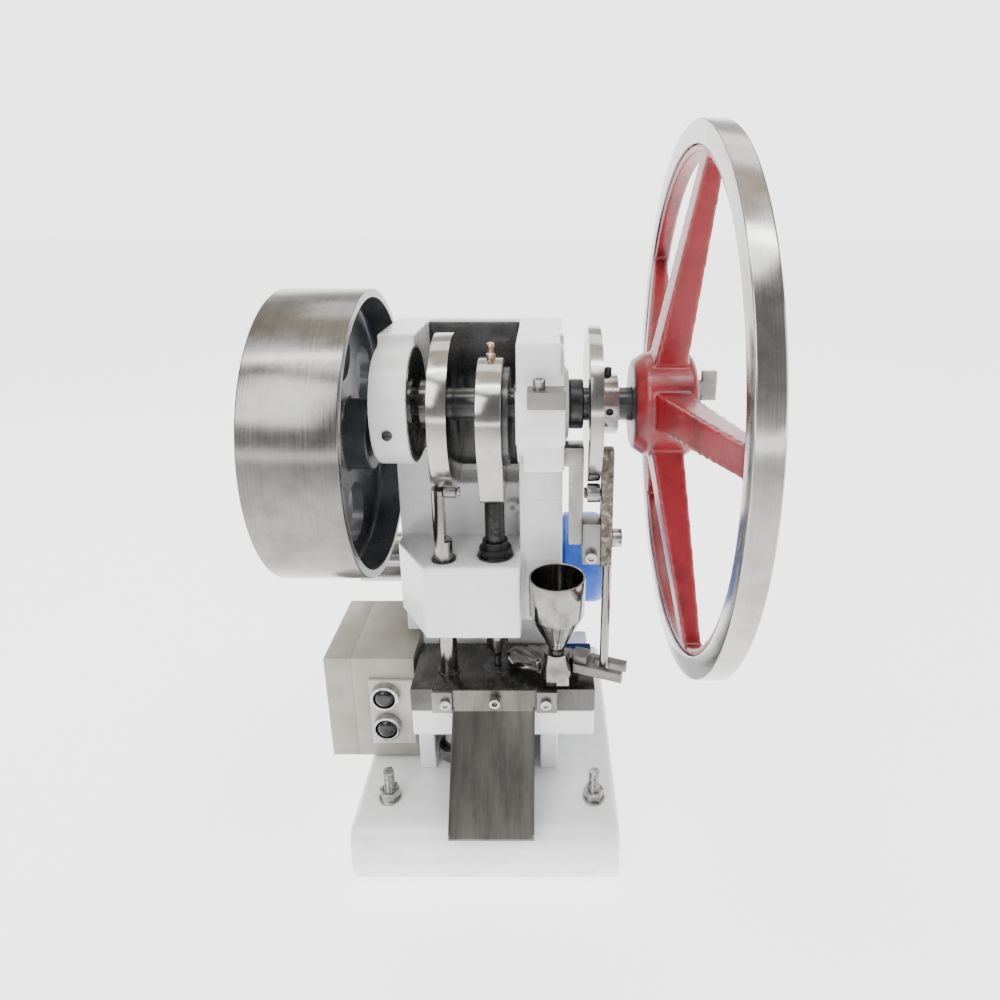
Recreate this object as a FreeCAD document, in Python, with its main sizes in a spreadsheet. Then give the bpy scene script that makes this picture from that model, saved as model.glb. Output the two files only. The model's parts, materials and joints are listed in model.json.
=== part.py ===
import FreeCAD, Part
import math
import os
import re
import Sketcher

# Single-punch tablet press: a hand-started, motor-driven eccentric press on a cast frame.
# Frame: +X to the handwheel, +Y to the back, +Z up.  The punches work on the line X = 0,
# Y = 0, the main shaft lies along X at Y = 0, and the base stands on Z = 0.

SIZES = {
    # main shaft and its line
    "shaft_height": 431.5, "shaft_radius": 14, "shaft_left": -66, "shaft_right": 172,
    "fit_gap": 0.05, "key_width": 8, "key_rise": 20, "key_left": 118, "key_right": 186,
    "key_sink": 9, "key_head": 174,
    # base casting
    "base_left": -130, "base_right": 112, "base_front": -79, "base_bulge": -89,
    "base_back": 190, "base_top": 62.5, "base_round": 18, "cavity_left": -80,
    "cavity_right": 70, "cavity_front": -28, "cavity_back": 150, "cavity_top": 46,
    "rib_half": 12,
    "stud_left": -100, "stud_right": 90, "stud_front": -47.5, "stud_back": 166,
    "stud_radius": 5, "stud_hole": 5.5, "stud_rise": 31, "nut_flat": 17, "nut_thick": 8.4,
    "washer_radius": 10.5, "washer_thick": 2,
    # frame casting
    "wall_left": -92, "wall_inner_left": -62, "wall_inner_right": 22, "wall_right": 60,
    "column_front": 39, "column_back": 90, "back_wall": 74, "head_floor": 345,
    "head_top": 490, "boss_radius": 50, "small_boss_radius": 30, "small_boss": 5,
    "small_boss_drop": 17, "column_step": 186,
    "block_bottom": 220.6, "block_top": 292, "block_front": -26, "block_left": -61,
    "block_side_left": -92, "block_side_back": 24, "block_right": 23, "pillar_front": 3,
    "lug_front": -60, "lug_bottom": 414, "lug_top": 456, "cap_front": -42, "cap_right": 57,
    "gusset_front": -44, "gusset_left": 27, "gusset_bottom": 386, "boss_right": 64,
    "table_left": -77, "table_right": 89.5, "table_front": -37, "table_bottom": 124,
    "table_top": 152, "leg_left": -78, "leg_right": 57, "leg_front": -12,
    "window_left": -62, "window_right": 40, "window_back": 78,
    "pad_front": 20, "pad_back": 80, "pad_bottom": 100, "pad_rise": 20,
    "ear_x": 14, "ear_z": 322, "ear_radius": 7, "ear_rise": 8, "ear_hole": 2.6,
    # bearing pieces
    "bush_radius": 18, "clamp_left": 31, "clamp_right": 60, "clamp_top": 458,
    "clamp_deep": 22, "clamp_thick": 13, "clamp_front": -66, "clamp_screw_x": 40,
    "clamp_screw_y": -54,
    # lift cam, eccentric and feed cam
    "cam_left": -45, "cam_right": -30, "cam_radius": 64.5, "cam_drop": 5.5,
    "cam_hub_left": -58, "cam_hub_radius": 21,
    "throw": 11, "sheave_radius": 38, "strap_radius": 50, "strap_half": 10.3,
    "sheave_flange": 15, "sheave_flange_radius": 42, "foot_half": 26, "foot_bottom": 350,
    "pocket_half": 20.5, "pocket_wide": 9.1, "pocket_top": 373, "nipple_height": 14,
    "feed_cam_left": 79, "feed_cam_right": 89, "feed_cam_radius": 65, "feed_cam_shift": 7,
    "feed_hub_right": 104, "feed_hub_radius": 25, "collar_left": 64.3, "collar_right": 76,
    "collar_radius": 21,
    # handwheel
    "rim_left": 154.5, "rim_right": 172.5, "rim_radius": 218.5, "rim_thick": 17,
    "ring_thick": 6, "hub_left": 116, "hub_face_radius": 35, "hub_big_left": 126,
    "hub_radius": 43, "hub_right": 166, "spoke_count": 5, "spoke_turn": 12,
    "spoke_root": 30, "spoke_tip": 20, "spoke_root_left": 128, "spoke_root_right": 156,
    "spoke_tip_left": 155.5, "spoke_tip_right": 169,
    # reduction gear in the left boss: a ring on the main shaft, a pinion on the drum's shaft
    "gear_module": 2, "ring_teeth": 39, "pinion_teeth": 13, "gear_offset": 26,
    "gear_play": 0.3, "gear_case": -84, "gear_case_radius": 47, "ring_radius": 45,
    "ring_left": -83.5, "ring_web": -69.5, "ring_right": -62.2, "pinion_right": -70,
    "axle_radius": 9, "axle_bush": 12, "axle_left": -168,
    # belt drum
    "drum_left": -166.5, "drum_right": -96, "drum_radius": 120.5, "drum_thick": 7,
    "web_left": -132, "web_right": -122, "drum_hub_left": -148, "drum_hub_right": -98,
    "drum_hub_radius": 30, "drum_window": 26, "drum_window_ring": 72,
    "drum_windows": 6,
    # ram and upper punch
    "ram_radius": 13, "ram_bottom": 214, "nose_radius": 10, "nose_bottom": 196,
    "ram_bush": 16, "rod_radius": 8.75, "rod_top": 349, "locknut_radius": 14.5,
    "locknut_top": 300, "locknut_step": 306, "locknut_neck": 11.5,
    "punch_radius": 3.25, "punch_neck": 6.5, "punch_neck_bottom": 188, "punch_tip": 171,
    # lift rod, yoke and lower punch
    "lift_x": -45.3, "lift_y": -8, "lift_radius": 8.3, "lift_top": 358.5, "lift_flat": -43.2,
    "lift_flat_bottom": 310, "lift_bush": 10.6, "yoke_bottom": 78, "yoke_top": 90,
    "yoke_half": 12, "lift_bottom": 77, "roller_radius": 5.5, "roller_z": 355.6,
    "roller_left": -42.6, "roller_right": -32, "roller_pin": 2.5, "roller_pin_end": -28.5,
    "shank_radius": 6, "shank_top": 150, "lower_tip": 168, "sleeve_radius": 13,
    "sleeve_bottom": 94, "gear_teeth": 30, "gear_radius": 27, "tooth_depth": 3,
    "gear_bore": 13.3, "fill_gear_bottom": 96, "lift_gear_bottom": 109, "gear_thick": 10,
    # die plate and what is on it
    "plate_left": -77, "plate_right": 89.5, "plate_front": -37, "plate_back": 33,
    "plate_top": 174.7, "die_radius": 14, "die_bore": 3.3, "clamp_block": 18,
    "clamp_block_left": -57.4, "clamp_block_right": 37.3, "clamp_block_thick": 4,
    "plate_screw_left": -45, "plate_screw_right": 45.5, "plate_screw_z": 163,
    "center_screw_z": 166,
    # discharge chute
    "chute_half": 37.3, "chute_center": -2, "chute_thick": 1.5, "chute_back": -37,
    "chute_fold": 151, "chute_foot_y": -98.5, "chute_foot_z": 66.6, "chute_lip": 5,
    # control box
    "case_left": -167, "case_seam": -141, "case_right": -81, "case_front": 2,
    "case_back": 105, "case_bottom": 66, "case_top": 179, "case_wall": 3,
    "panel_left": -125, "panel_right": -83, "panel_bottom": 83, "panel_top": 156.5,
    "panel_front": -1, "button_x": -109, "start_z": 141, "stop_z": 106,
    "button_radius": 10.3, "bezel_radius": 13.5, "bezel_front": -9, "button_front": -11,
    "button_back": 12, "button_gap": 0.3,
    # motor
    "motor_y": 143, "motor_z": 213, "motor_radius": 48, "motor_left": -62,
    "motor_seam": 66, "motor_right": 111, "fan_radius": 50, "fan_wall": 2.5,
    "motor_shaft": 8, "motor_shaft_left": -164, "pulley_left": -160, "pulley_right": -100,
    "pulley_radius": 28, "bracket_left": -50, "bracket_right": 50, "bracket_thick": 8,
    "bracket_front": 96, "fin_count": 16, "fin_rise": 5,
    # powder feed: swing arm, rod, shoe and hopper
    "hang_left": 64.5, "hang_right": 76, "hang_front": -34, "hang_back": -14,
    "hang_bottom": 318, "hang_top": 404, "pivot_y": -29, "pivot_z": 322,
    "pivot_block_right": 90.5, "pivot_block_bottom": 302, "pivot_block_top": 339,
    "pivot_block_front": -39, "pivot_block_back": -19, "block_screw_x": 83,
    "arm_left": 91, "arm_right": 100.5,
    "arm_top": 402, "arm_bottom": 300, "arm_low_half": 10, "arm_top_half": 6,
    "pivot_pin": 4, "pivot_head": 8, "pivot_head_right": 109, "feed_rod_x": 97.5,
    "feed_rod_radius": 4, "feed_rod_top": 313.5, "feed_rod_bottom": 186,
    "feed_roller_y": -27, "feed_roller_z": 362.4, "feed_roller_radius": 8,
    "feed_roller_left": 79.5, "feed_roller_right": 90, "shoe_x": 62, "shoe_y": -15.5,
    "shoe_bottom": 175, "shoe_top": 186.5, "post_radius": 5, "post_top": 196,
    "hopper_x": 55, "hopper_y": -28, "hopper_radius": 24.5, "hopper_wall": 1.6,
    "hopper_rim": 284, "hopper_knee": 250, "hopper_neck": 7, "hopper_neck_top": 214,
    "spout": 14, "cone_skin": 0.6, "neck_foot": 14, "neck_ring": 11, "neck_low": 8,
    "neck_rise": 4, "neck_room": 14.6,
    "fork_turn": -20.8, "fork_slot": 5.5, "fork_half": 11,
    "fork_slot_start": 28, "fork_end": 57, "fork_bottom": 188, "fork_top": 197,
    "shoe_screw_x": 38, "shoe_screw_y": -16, "shoe_screw_radius": 2, "shoe_screw_deep": 6,
    "fork_hub": 9, "fork_hub_room": 9.6, "fork_block_start": 9, "fork_block_end": 24,
    "fork_block_half": 7.5, "fork_block_top": 203, "post_deep": 5, "rod_ball": 3,
    "rod_collar": 4.2, "rod_collar_rise": 12, "roller_stub": 3, "roller_head": 4.6,
    # screws of the metric size six and their holes
    "screw": 3, "screw_hole": 3.01, "skin": 0.01,
    # lengths of cutting tools that run out past the metal
    "short_cut": 20, "cut": 30, "long_cut": 40, "through_cut": 60,
    # oil plug, shaft key, ram, strap and swing arm details
    "plug_x": -78, "plug_radius": 4, "plug_deep": 3, "plug_drop": 12, "slot_half": 0.6,
    "block_lift": 0.5, "ram_taper": 3, "ram_seat": 10, "rod_round": 6, "nipple_radius": 4,
    "pin_step": 1.6, "eye_wall": 5, "arm_gap": 0.5, "shank_taper": 3,
    # motor and its stand
    "fin_start": 12, "fin_end": 6, "fin_half": 1.5, "vent_ring": 26, "vent_radius": 7,
    "vent_start": 12, "stand_lip": 8, "stand_back": 4, "cheek_half": 34, "cheek_drop": 22,
    "bolt_inset": 6, "bolt_back": 8, "bolt_flats": 8, "bolt_thick": 4,
}
WORD = re.compile(r"[a-z][a-z_]*")

doc = FreeCAD.newDocument("TabletPress")
sheet = doc.addObject("Spreadsheet::Sheet", "Sizes")
for row, (alias, number) in enumerate(SIZES.items(), start=1):
    sheet.set(f"A{row}", alias)
    sheet.set(f"B{row}", str(number))
    sheet.setAlias(f"B{row}", alias)
doc.recompute()

AXES = {
    "X": FreeCAD.Rotation(FreeCAD.Vector(0, 1, 0), 90),
    "Y": FreeCAD.Rotation(FreeCAD.Vector(1, 0, 0), -90),
    "Z": FreeCAD.Rotation(),
}
DRUM_LINE = "shaft_height - gear_offset"
PRESSURE_ANGLE = math.radians(20)
FLANK_STEPS = 4
nodes = []


def formula(text):
    """Turn sheet words in a formula into references to their cells."""
    return WORD.sub(lambda m: f"Sizes.{m.group()}" if m.group() in SIZES else m.group(), text)


def value(text):
    return float(sheet.evalExpression(formula(text)))


def bind(thing, name, text):
    thing.setExpression(name, formula(text))


def place(thing, corner, turn=None):
    """Bind a Placement's position to formulas and set its rotation."""
    if turn is not None:
        thing.Placement = FreeCAD.Placement(FreeCAD.Vector(), turn)
    for letter, text in zip("xyz", corner):
        bind(thing, f"Placement.Base.{letter}", text)
    return thing


def box(low, high):
    """A Part::Box between two corners given as formulas."""
    thing = doc.addObject("Part::Box", "Box")
    for name, start, end in zip(("Length", "Width", "Height"), low, high):
        bind(thing, name, f"({end}) - ({start})")
    return place(thing, low)


def rod(axis, start, radius, length):
    """A Part::Cylinder from a start point along +X, +Y or +Z."""
    thing = doc.addObject("Part::Cylinder", "Rod")
    bind(thing, "Radius", radius)
    bind(thing, "Height", length)
    return place(thing, start, AXES[axis])


def prism(axis, start, across_flats, length):
    """A hexagonal Part::Prism, as a nut or a bolt head is."""
    thing = doc.addObject("Part::Prism", "Prism")
    thing.Polygon = 6
    bind(thing, "Circumradius", f"({across_flats}) / sqrt(3)")
    bind(thing, "Height", length)
    return place(thing, start, AXES[axis])


def fuse(*pieces):
    thing = doc.addObject("Part::MultiFuse", "Fuse")
    thing.Shapes = list(pieces)
    thing.Refine = True
    return thing


def group(*pieces):
    """Separate solids that share one node."""
    thing = doc.addObject("Part::Compound", "Group")
    thing.Links = list(pieces)
    return thing


def cut(base, *tools):
    thing = doc.addObject("Part::Cut", "Cut")
    thing.Base = base
    thing.Tool = tools[0] if len(tools) == 1 else fuse(*tools)
    thing.Refine = True
    return thing


def common(one, other):
    thing = doc.addObject("Part::MultiCommon", "Common")
    thing.Shapes = [one, other]
    return thing


def rounded(base, radius, choose):
    """Fillet those edges of base that choose picks by their middle point and direction."""
    doc.recompute()
    thing = doc.addObject("Part::Fillet", "Round")
    thing.Base = base
    size = value(radius)
    picked = []
    for number, edge in enumerate(base.Shape.Edges, start=1):
        middle = edge.valueAt((edge.FirstParameter + edge.LastParameter) / 2)
        if choose(edge, middle):
            picked.append((number, size, size))
    thing.Edges = picked
    return thing


def outline_body(plane_role, outline):
    """A body with one closed sketch whose corners are bound to formulas."""
    body = doc.addObject("PartDesign::Body", "Body")
    plane = [item for item in body.Origin.OriginFeatures if item.Role == plane_role][0]
    sketch = body.newObject("Sketcher::SketchObject", "Outline")
    sketch.AttachmentSupport = [(plane, "")]
    sketch.MapMode = "FlatFace"
    corners = [FreeCAD.Vector(value(first), value(second), 0) for first, second in outline]
    count = len(corners)
    for index in range(count):
        line = Part.LineSegment(corners[index], corners[(index + 1) % count])
        sketch.addGeometry(line, False)
    for index in range(count):
        sketch.addConstraint(Sketcher.Constraint("Coincident", index, 2, (index + 1) % count, 1))
    for index, pair in enumerate(outline):
        for kind, text in zip(("DistanceX", "DistanceY"), pair):
            number = sketch.addConstraint(
                Sketcher.Constraint(kind, -1, 1, index, 1, value(text)))
            sketch.setExpression(f"Constraints[{number}]", formula(text))
    return body, sketch


def slab(plane_role, outline, start, length):
    """A padded outline: YZ_Plane pads along +X, XY_Plane along +Z, XZ_Plane along +Y."""
    body, sketch = outline_body(plane_role, outline)
    pad = body.newObject("PartDesign::Pad", "Pad")
    pad.Profile = sketch
    pad.Reversed = plane_role == "XZ_Plane"
    bind(pad, "Length", length)
    letter = {"YZ_Plane": "x", "XZ_Plane": "y", "XY_Plane": "z"}[plane_role]
    bind(body, f"Placement.Base.{letter}", start)
    return body


def turned(axis, center, outline):
    """A turned piece: outline holds (radius, distance along the axis) pairs."""
    body, sketch = outline_body("XZ_Plane", outline)
    revolution = body.newObject("PartDesign::Revolution", "Turn")
    revolution.Profile = sketch
    revolution.ReferenceAxis = (sketch, ["V_Axis"])
    revolution.Angle = 360
    return place(body, center, AXES[axis])


def node(name, thing):
    """Name a finished sub-part: the label is its node and file name."""
    thing.Label = name
    nodes.append(thing)
    return thing


def socket_screw(axis, start, radius, length, head, outward=1):
    """A cap screw along an axis: shank from start, head beyond its end, hexagon socket."""
    letter = "XYZ".index(axis)
    grip = [*start]
    top = [*start]
    mouth = [*start]
    if outward > 0:
        grip[letter] = start[letter]
        top[letter] = f"({start[letter]}) + ({length})"
        mouth[letter] = f"({start[letter]}) + ({length}) + ({head}) * 0.5"
    else:
        grip[letter] = f"({start[letter]}) - ({length})"
        top[letter] = f"({start[letter]}) - ({length}) - ({head})"
        mouth[letter] = f"({start[letter]}) - ({length}) - ({head}) - 0.01"
    shank = rod(axis, grip, radius, length)
    cap = rod(axis, top, f"({radius}) * 1.6", head)
    socket = prism(axis, mouth, f"({radius}) * 1.7", f"({head}) * 0.5 + 0.02")
    return cut(fuse(shank, cap), socket)


# ------------------------------------------------------------------ standing frame
def make_base():
    profile = [("base_back", "0"), ("base_back", "base_top"), ("base_bulge", "base_top"),
               ("base_bulge", "base_top * 0.45"), ("base_front", "0")]
    block = slab("YZ_Plane", profile, "base_left", "base_right - base_left")
    top = value("base_top") - 0.1
    block = rounded(block, "base_round", lambda edge, middle: middle.z > top
                    and middle.y < value("base_bulge") + 1)
    sides = (value("base_left"), value("base_right"))
    block = rounded(block, "base_round / 3", lambda edge, middle: middle.z > top
                    and min(abs(middle.x - side) for side in sides) < 0.1)
    cavities = [box((left, "cavity_front", "-1"), (right, "cavity_back", "cavity_top"))
                for left, right in (("cavity_left", "-rib_half"),
                                    ("rib_half", "cavity_right"))]
    holes = [rod("Z", (x, y, "-1"), "stud_hole", "base_top + 2")
             for x in ("stud_left", "stud_right") for y in ("stud_front", "stud_back")]
    node("base", cut(block, *cavities, *holes))


def make_base_studs():
    studs = [rod("Z", (x, "stud_front", "0"), "stud_radius", "base_top + stud_rise")
             for x in ("stud_left", "stud_right")]
    node("base_studs", group(*studs))


def make_stud_washers():
    rings = []
    for x in ("stud_left", "stud_right"):
        plate = rod("Z", (x, "stud_front", "base_top"), "washer_radius", "washer_thick")
        hole = rod("Z", (x, "stud_front", "base_top - 1"), "stud_hole", "washer_thick + 2")
        rings.append(cut(plate, hole))
    node("stud_washers", group(*rings))


def make_stud_nuts():
    nuts = []
    for x in ("stud_left", "stud_right"):
        foot = "base_top + washer_thick"
        body = prism("Z", (x, "stud_front", foot), "nut_flat", "nut_thick")
        hole = rod("Z", (x, "stud_front", f"{foot} - 1"), "stud_radius + 0.01",
                   "nut_thick + 2")
        nuts.append(cut(body, hole))
    node("stud_nuts", group(*nuts))


def head_walls():
    """The two bearing walls, the closed back and the forward blocks of the right bearing."""
    shaft = ("0", "shaft_height")
    left = box(("wall_left", "0", "shaft_height - boss_radius"),
               ("wall_inner_left", "column_back", "head_top"))
    left_boss = rod("X", ("wall_left", *shaft), "boss_radius",
                    "wall_inner_left - wall_left")
    left_step = rod("X", ("wall_left - small_boss", "0", "shaft_height - small_boss_drop"),
                    "small_boss_radius", "small_boss")
    left_post = box(("wall_left", "column_front", "head_floor"),
                    ("wall_inner_left", "column_back", "shaft_height"))
    right = box(("wall_inner_right", "0", "head_floor"),
                ("wall_right", "column_back", "head_top"))
    right_boss = rod("X", ("wall_inner_right", *shaft), "boss_radius",
                     "wall_right - wall_inner_right")
    right_step = rod("X", ("wall_right", *shaft), "small_boss_radius",
                     "boss_right - wall_right")
    cap = box(("wall_inner_right", "cap_front", "lug_top - 10"),
              ("cap_right", "10", "head_top"))
    lug = box(("wall_inner_right", "lug_front", "lug_bottom"),
              ("wall_right", "10", "lug_top"))
    gusset = box(("gusset_left", "gusset_front", "gusset_bottom"),
                 ("wall_right", "10", "lug_bottom + 5"))
    back = box(("wall_inner_left - 5", "back_wall", "head_floor"),
               ("wall_inner_right + 5", "column_back", "head_top"))
    return [left, left_boss, left_step, left_post, right, right_boss, right_step,
            cap, lug, gusset, back]


def make_frame_casting():
    column = box(("wall_left", "column_front", "column_step"),
                 ("wall_right", "column_back", "head_floor"))
    waist = box(("table_left", "column_front", "table_bottom"),
                ("wall_right", "column_back", "column_step"))
    ear = rod("Y", ("ear_x", "column_front - ear_rise", "ear_z"), "ear_radius",
              "ear_rise + 1")
    ear_hole = rod("Y", ("ear_x", "column_front - ear_rise - 1", "ear_z"), "ear_hole",
                   "ear_rise")
    pillar = box(("block_right - 1", "pillar_front", "block_bottom"),
                 ("wall_right", "column_back", "shaft_height"))
    guide = slab("XY_Plane", [
        ("block_right", "block_front"), ("block_right", "column_front + 5"),
        ("block_side_left", "column_front + 5"), ("block_side_left", "block_side_back"),
        ("block_left", "block_front")], "block_bottom", "block_top - block_bottom")
    table = box(("table_left", "table_front", "table_bottom"),
                ("table_right", "column_back", "table_top"))
    legs = box(("leg_left", "leg_front", "base_top"),
               ("leg_right", "column_back", "table_bottom"))
    pad = box(("case_right", "pad_front", "pad_bottom"),
              ("leg_left + 1", "pad_back", "table_bottom + pad_rise"))
    window = box(("window_left", "leg_front - 1", "base_top - 1"),
                 ("window_right", "window_back", "table_bottom"))
    bore = rod("X", ("wall_inner_right - 1", "0", "shaft_height"), "bush_radius",
               "boss_right - wall_inner_right + 2")
    gear_case = rod("X", ("gear_case", "0", "shaft_height"), "gear_case_radius",
                    "wall_inner_left - gear_case + 1")
    axle_bore = rod("X", ("wall_left - small_boss - 1", "0", DRUM_LINE), "axle_bush",
                    "gear_case - wall_left + small_boss + 2")
    ram_bore = rod("Z", ("0", "0", "block_bottom - 1"), "ram_bush",
                   "block_top - block_bottom + 2")
    lift_bore = rod("Z", ("lift_x", "lift_y", "table_bottom - 1"), "lift_bush",
                    "block_top - table_bottom + 2")
    sleeve_bore = rod("Z", ("0", "0", "table_bottom - 1"), "sleeve_radius",
                      "table_top - table_bottom + 2")
    solid = fuse(column, waist, ear, pillar, guide, table, legs, pad, *head_walls())
    node("frame_casting", cut(solid, window, bore, gear_case, axle_bore, ram_bore,
                              lift_bore, sleeve_bore, ear_hole))


def bush(axis, start, outer, inner, length):
    """A plain bush with a running fit inside."""
    letter = "XYZ".index(axis)
    mouth = [*start]
    mouth[letter] = f"({start[letter]}) - 1"
    return cut(rod(axis, start, outer, length),
               rod(axis, mouth, f"{inner} + fit_gap", f"({length}) + 2"))


def make_bushes():
    """The bronze bushes of the ring gear, drum axle, main shaft, ram and lift rod."""
    node("bearing_bushes", group(
        bush("X", ("gear_case", "0", "shaft_height"), "gear_case_radius", "ring_radius",
             "wall_inner_left - gear_case"),
        bush("X", ("wall_left - small_boss", "0", DRUM_LINE), "axle_bush", "axle_radius",
             "gear_case - wall_left + small_boss"),
        bush("X", ("wall_inner_right - 3", "0", "shaft_height"), "bush_radius",
             "shaft_radius", "boss_right - wall_inner_right + 3"),
        bush("Z", ("0", "0", "block_bottom"), "ram_bush", "ram_radius",
             "block_top - block_bottom"),
        bush("Z", ("lift_x", "lift_y", "block_bottom"), "lift_bush", "lift_radius",
             "block_top - block_bottom"),
        bush("Z", ("lift_x", "lift_y", "table_bottom"), "lift_bush", "lift_radius",
             "plate_top + 1.2 - table_bottom")))


def make_bearing_clamp():
    bar = box(("clamp_left", "clamp_front", "lug_top"),
              ("clamp_right", "clamp_front + clamp_deep", "clamp_top"))
    apron = box(("clamp_left", "clamp_front", "clamp_top - clamp_thick"),
                ("clamp_right", "lug_front", "clamp_top"))
    hole = rod("Z", ("clamp_screw_x", "clamp_screw_y", "lug_top - 1"), "screw_hole", "12")
    node("bearing_clamp_bar", cut(fuse(bar, apron), hole))


def make_oil_plug():
    """A small plug in the front of the left bearing boss."""
    plug = rod("Y", ("plug_x", "-boss_radius - 1", "shaft_height - plug_drop"), "plug_radius",
               "plug_deep")
    slot = box(("plug_x - plug_radius", "-boss_radius - 2",
                "shaft_height - plug_drop - slot_half"),
               ("plug_x + plug_radius", "-boss_radius - 0.2",
                "shaft_height - plug_drop + slot_half"))
    boss = rod("X", ("wall_left", "0", "shaft_height"), "boss_radius", "long_cut")
    node("oil_plug", cut(plug, slot, boss))


# ------------------------------------------------------------------ die table
def make_die_plate():
    plate = box(("plate_left", "plate_front", "table_top"),
                ("plate_right", "plate_back", "plate_top"))
    die_seat = rod("Z", ("0", "0", "table_top - 1"), "die_radius", "cut")
    lift_hole = rod("Z", ("lift_x", "lift_y", "table_top - 1"), "lift_bush", "cut")
    screw_hole = rod("Y", ("-0.5", "plate_front - 1", "center_screw_z"), "screw_hole",
                     "-die_radius - plate_front + 1.5")
    post_hole = rod("Z", ("shoe_x", "shoe_y", "table_top - 1"), "post_radius", "cut")
    side_holes = [rod("Y", (x, "plate_front - 1", "plate_screw_z"), "screw_hole", "13")
                  for x in ("plate_screw_left", "plate_screw_right")]
    node("die_plate", cut(plate, die_seat, lift_hole, screw_hole, post_hole, *side_holes))


def make_die():
    height = "plate_top - table_top"
    node("die", turned("Z", ("0", "0", "table_top"), [
        ("die_bore", "0"), ("die_radius - 1", "0"), ("die_radius", "1"),
        ("die_radius", height), ("die_bore + 0.6", height),
        ("die_bore", f"{height} - 0.6")]))


def make_clamp_blocks():
    blocks = []
    pairs = (("clamp_block_left", "plate_screw_left"),
             ("clamp_block_right", "plate_screw_right"))
    for left, screw in pairs:
        block = box((left, "plate_front - clamp_block_thick", "table_top + 0.5"),
                    (f"{left} + clamp_block", "plate_front", "plate_top - 0.5"))
        hole = rod("Y", (screw, "plate_front - clamp_block_thick - 1", "plate_screw_z"),
                   "screw_hole", "clamp_block_thick + 2")
        blocks.append(cut(block, hole))
    node("plate_clamps", group(*blocks))


def make_cap_screws():
    """All M6 cap screws: bearing clamp, die lock, plate clamps and pivot block."""
    clamp = socket_screw("Z", ("clamp_screw_x", "clamp_screw_y", "lug_top"), "screw",
                         "clamp_top - lug_top", "8")
    lock_start = ("-0.5", "-die_radius - 0.6", "center_screw_z")
    lock = socket_screw("Y", lock_start, "screw",
                        "-die_radius - 0.6 - plate_front + chute_thick + 0.01", "8",
                        outward=-1)
    sides = [socket_screw("Y", (screw, "plate_front + 11", "plate_screw_z"), "screw",
                          "11 + clamp_block_thick", "3.5", outward=-1)
             for screw in ("plate_screw_left", "plate_screw_right")]
    block_start = ("block_screw_x", "pivot_block_front + 9", "pivot_block_bottom + 8")
    block = socket_screw("Y", block_start, "screw", "9", "5", outward=-1)
    node("cap_screws_m6", group(clamp, lock, *sides, block))


def make_chute():
    """A folded tray: a tab on the plate's front edge and a slope to the bench."""
    thick = "chute_thick"
    steep = "chute_thick * 1.25"
    profile = [
        ("chute_back", "plate_top"), (f"chute_back - {thick}", "plate_top"),
        (f"chute_back - {thick}", f"chute_fold + {thick}"),
        ("chute_foot_y", f"chute_foot_z + {steep}"), ("chute_foot_y", "chute_foot_z"),
        ("chute_back", "chute_fold")]
    left = "chute_center - chute_half"
    tray = slab("YZ_Plane", profile, left, "chute_half * 2")
    lips = []
    for start in (left, f"chute_center + chute_half - {thick}"):
        side = [(f"chute_back - {thick}", f"chute_fold + {thick}"),
                (f"chute_back - {thick}", f"chute_fold + {thick} + chute_lip"),
                ("chute_foot_y", f"chute_foot_z + {steep} + chute_lip"),
                ("chute_foot_y", f"chute_foot_z + {steep} * 0.5")]
        lips.append(slab("YZ_Plane", side, start, thick))
    hole = rod("Y", ("-0.5", "chute_back - 5", "center_screw_z"), "screw_hole", "8")
    node("chute", cut(fuse(tray, *lips), hole))


def make_punch_sleeve():
    outer = rod("Z", ("0", "0", "sleeve_bottom"), "sleeve_radius",
                "table_top - sleeve_bottom")
    inner = rod("Z", ("0", "0", "sleeve_bottom - 1"), "shank_radius + fit_gap",
                "table_top - sleeve_bottom + 2")
    node("punch_sleeve", cut(outer, inner))


def make_gear(name, bottom):
    """A spur ring that screws along the punch sleeve."""
    teeth = int(value("gear_teeth"))
    tip = value("gear_radius")
    root = tip - value("tooth_depth")
    corners = []
    for tooth in range(teeth):
        for part, radius in ((0.0, root), (0.28, root), (0.4, tip), (0.6, tip), (0.72, root)):
            angle = 2 * math.pi * (tooth + part) / teeth
            corners.append(FreeCAD.Vector(radius * math.cos(angle), radius * math.sin(angle)))
    blank = Part.Face(Part.makePolygon(corners + corners[:1]))
    solid = blank.extrude(FreeCAD.Vector(0, 0, value("gear_thick")))
    hole = Part.makeCylinder(value("gear_bore"), value("gear_thick"))
    gear = doc.addObject("Part::Feature", "Gear")
    gear.Shape = solid.cut(hole)
    gear.Placement = FreeCAD.Placement(FreeCAD.Vector(0, 0, value(bottom)),
                                       FreeCAD.Rotation())
    node(name, gear)


# ------------------------------------------------------------------ main shaft
def make_main_shaft():
    shaft = rod("X", ("shaft_left", "0", "shaft_height"), "shaft_radius",
                "shaft_right - shaft_left")
    node("main_shaft", cut(shaft, key_space()))


def key_space():
    return box(("key_left", "-key_width / 2", "shaft_height + key_sink"),
               ("key_right + 1", "key_width / 2", "shaft_height + key_rise"))


def make_key():
    bar = box(("key_left", "-key_width / 2", "shaft_height + key_sink"),
              ("key_right", "key_width / 2", "shaft_height + key_rise"))
    head = box(("key_head", "-key_width / 2", "shaft_height + key_sink - 5"),
               ("key_right", "key_width / 2", "shaft_height + key_rise + 8"))
    node("gib_key", fuse(bar, head))


def make_collar():
    node("shaft_collar", turned("X", ("0", "0", "shaft_height"), [
        ("shaft_radius", "collar_left"), ("collar_radius - 1", "collar_left"),
        ("collar_radius", "collar_left + 1"), ("collar_radius", "collar_right - 1"),
        ("collar_radius - 1", "collar_right"), ("shaft_radius", "collar_right")]))


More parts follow.
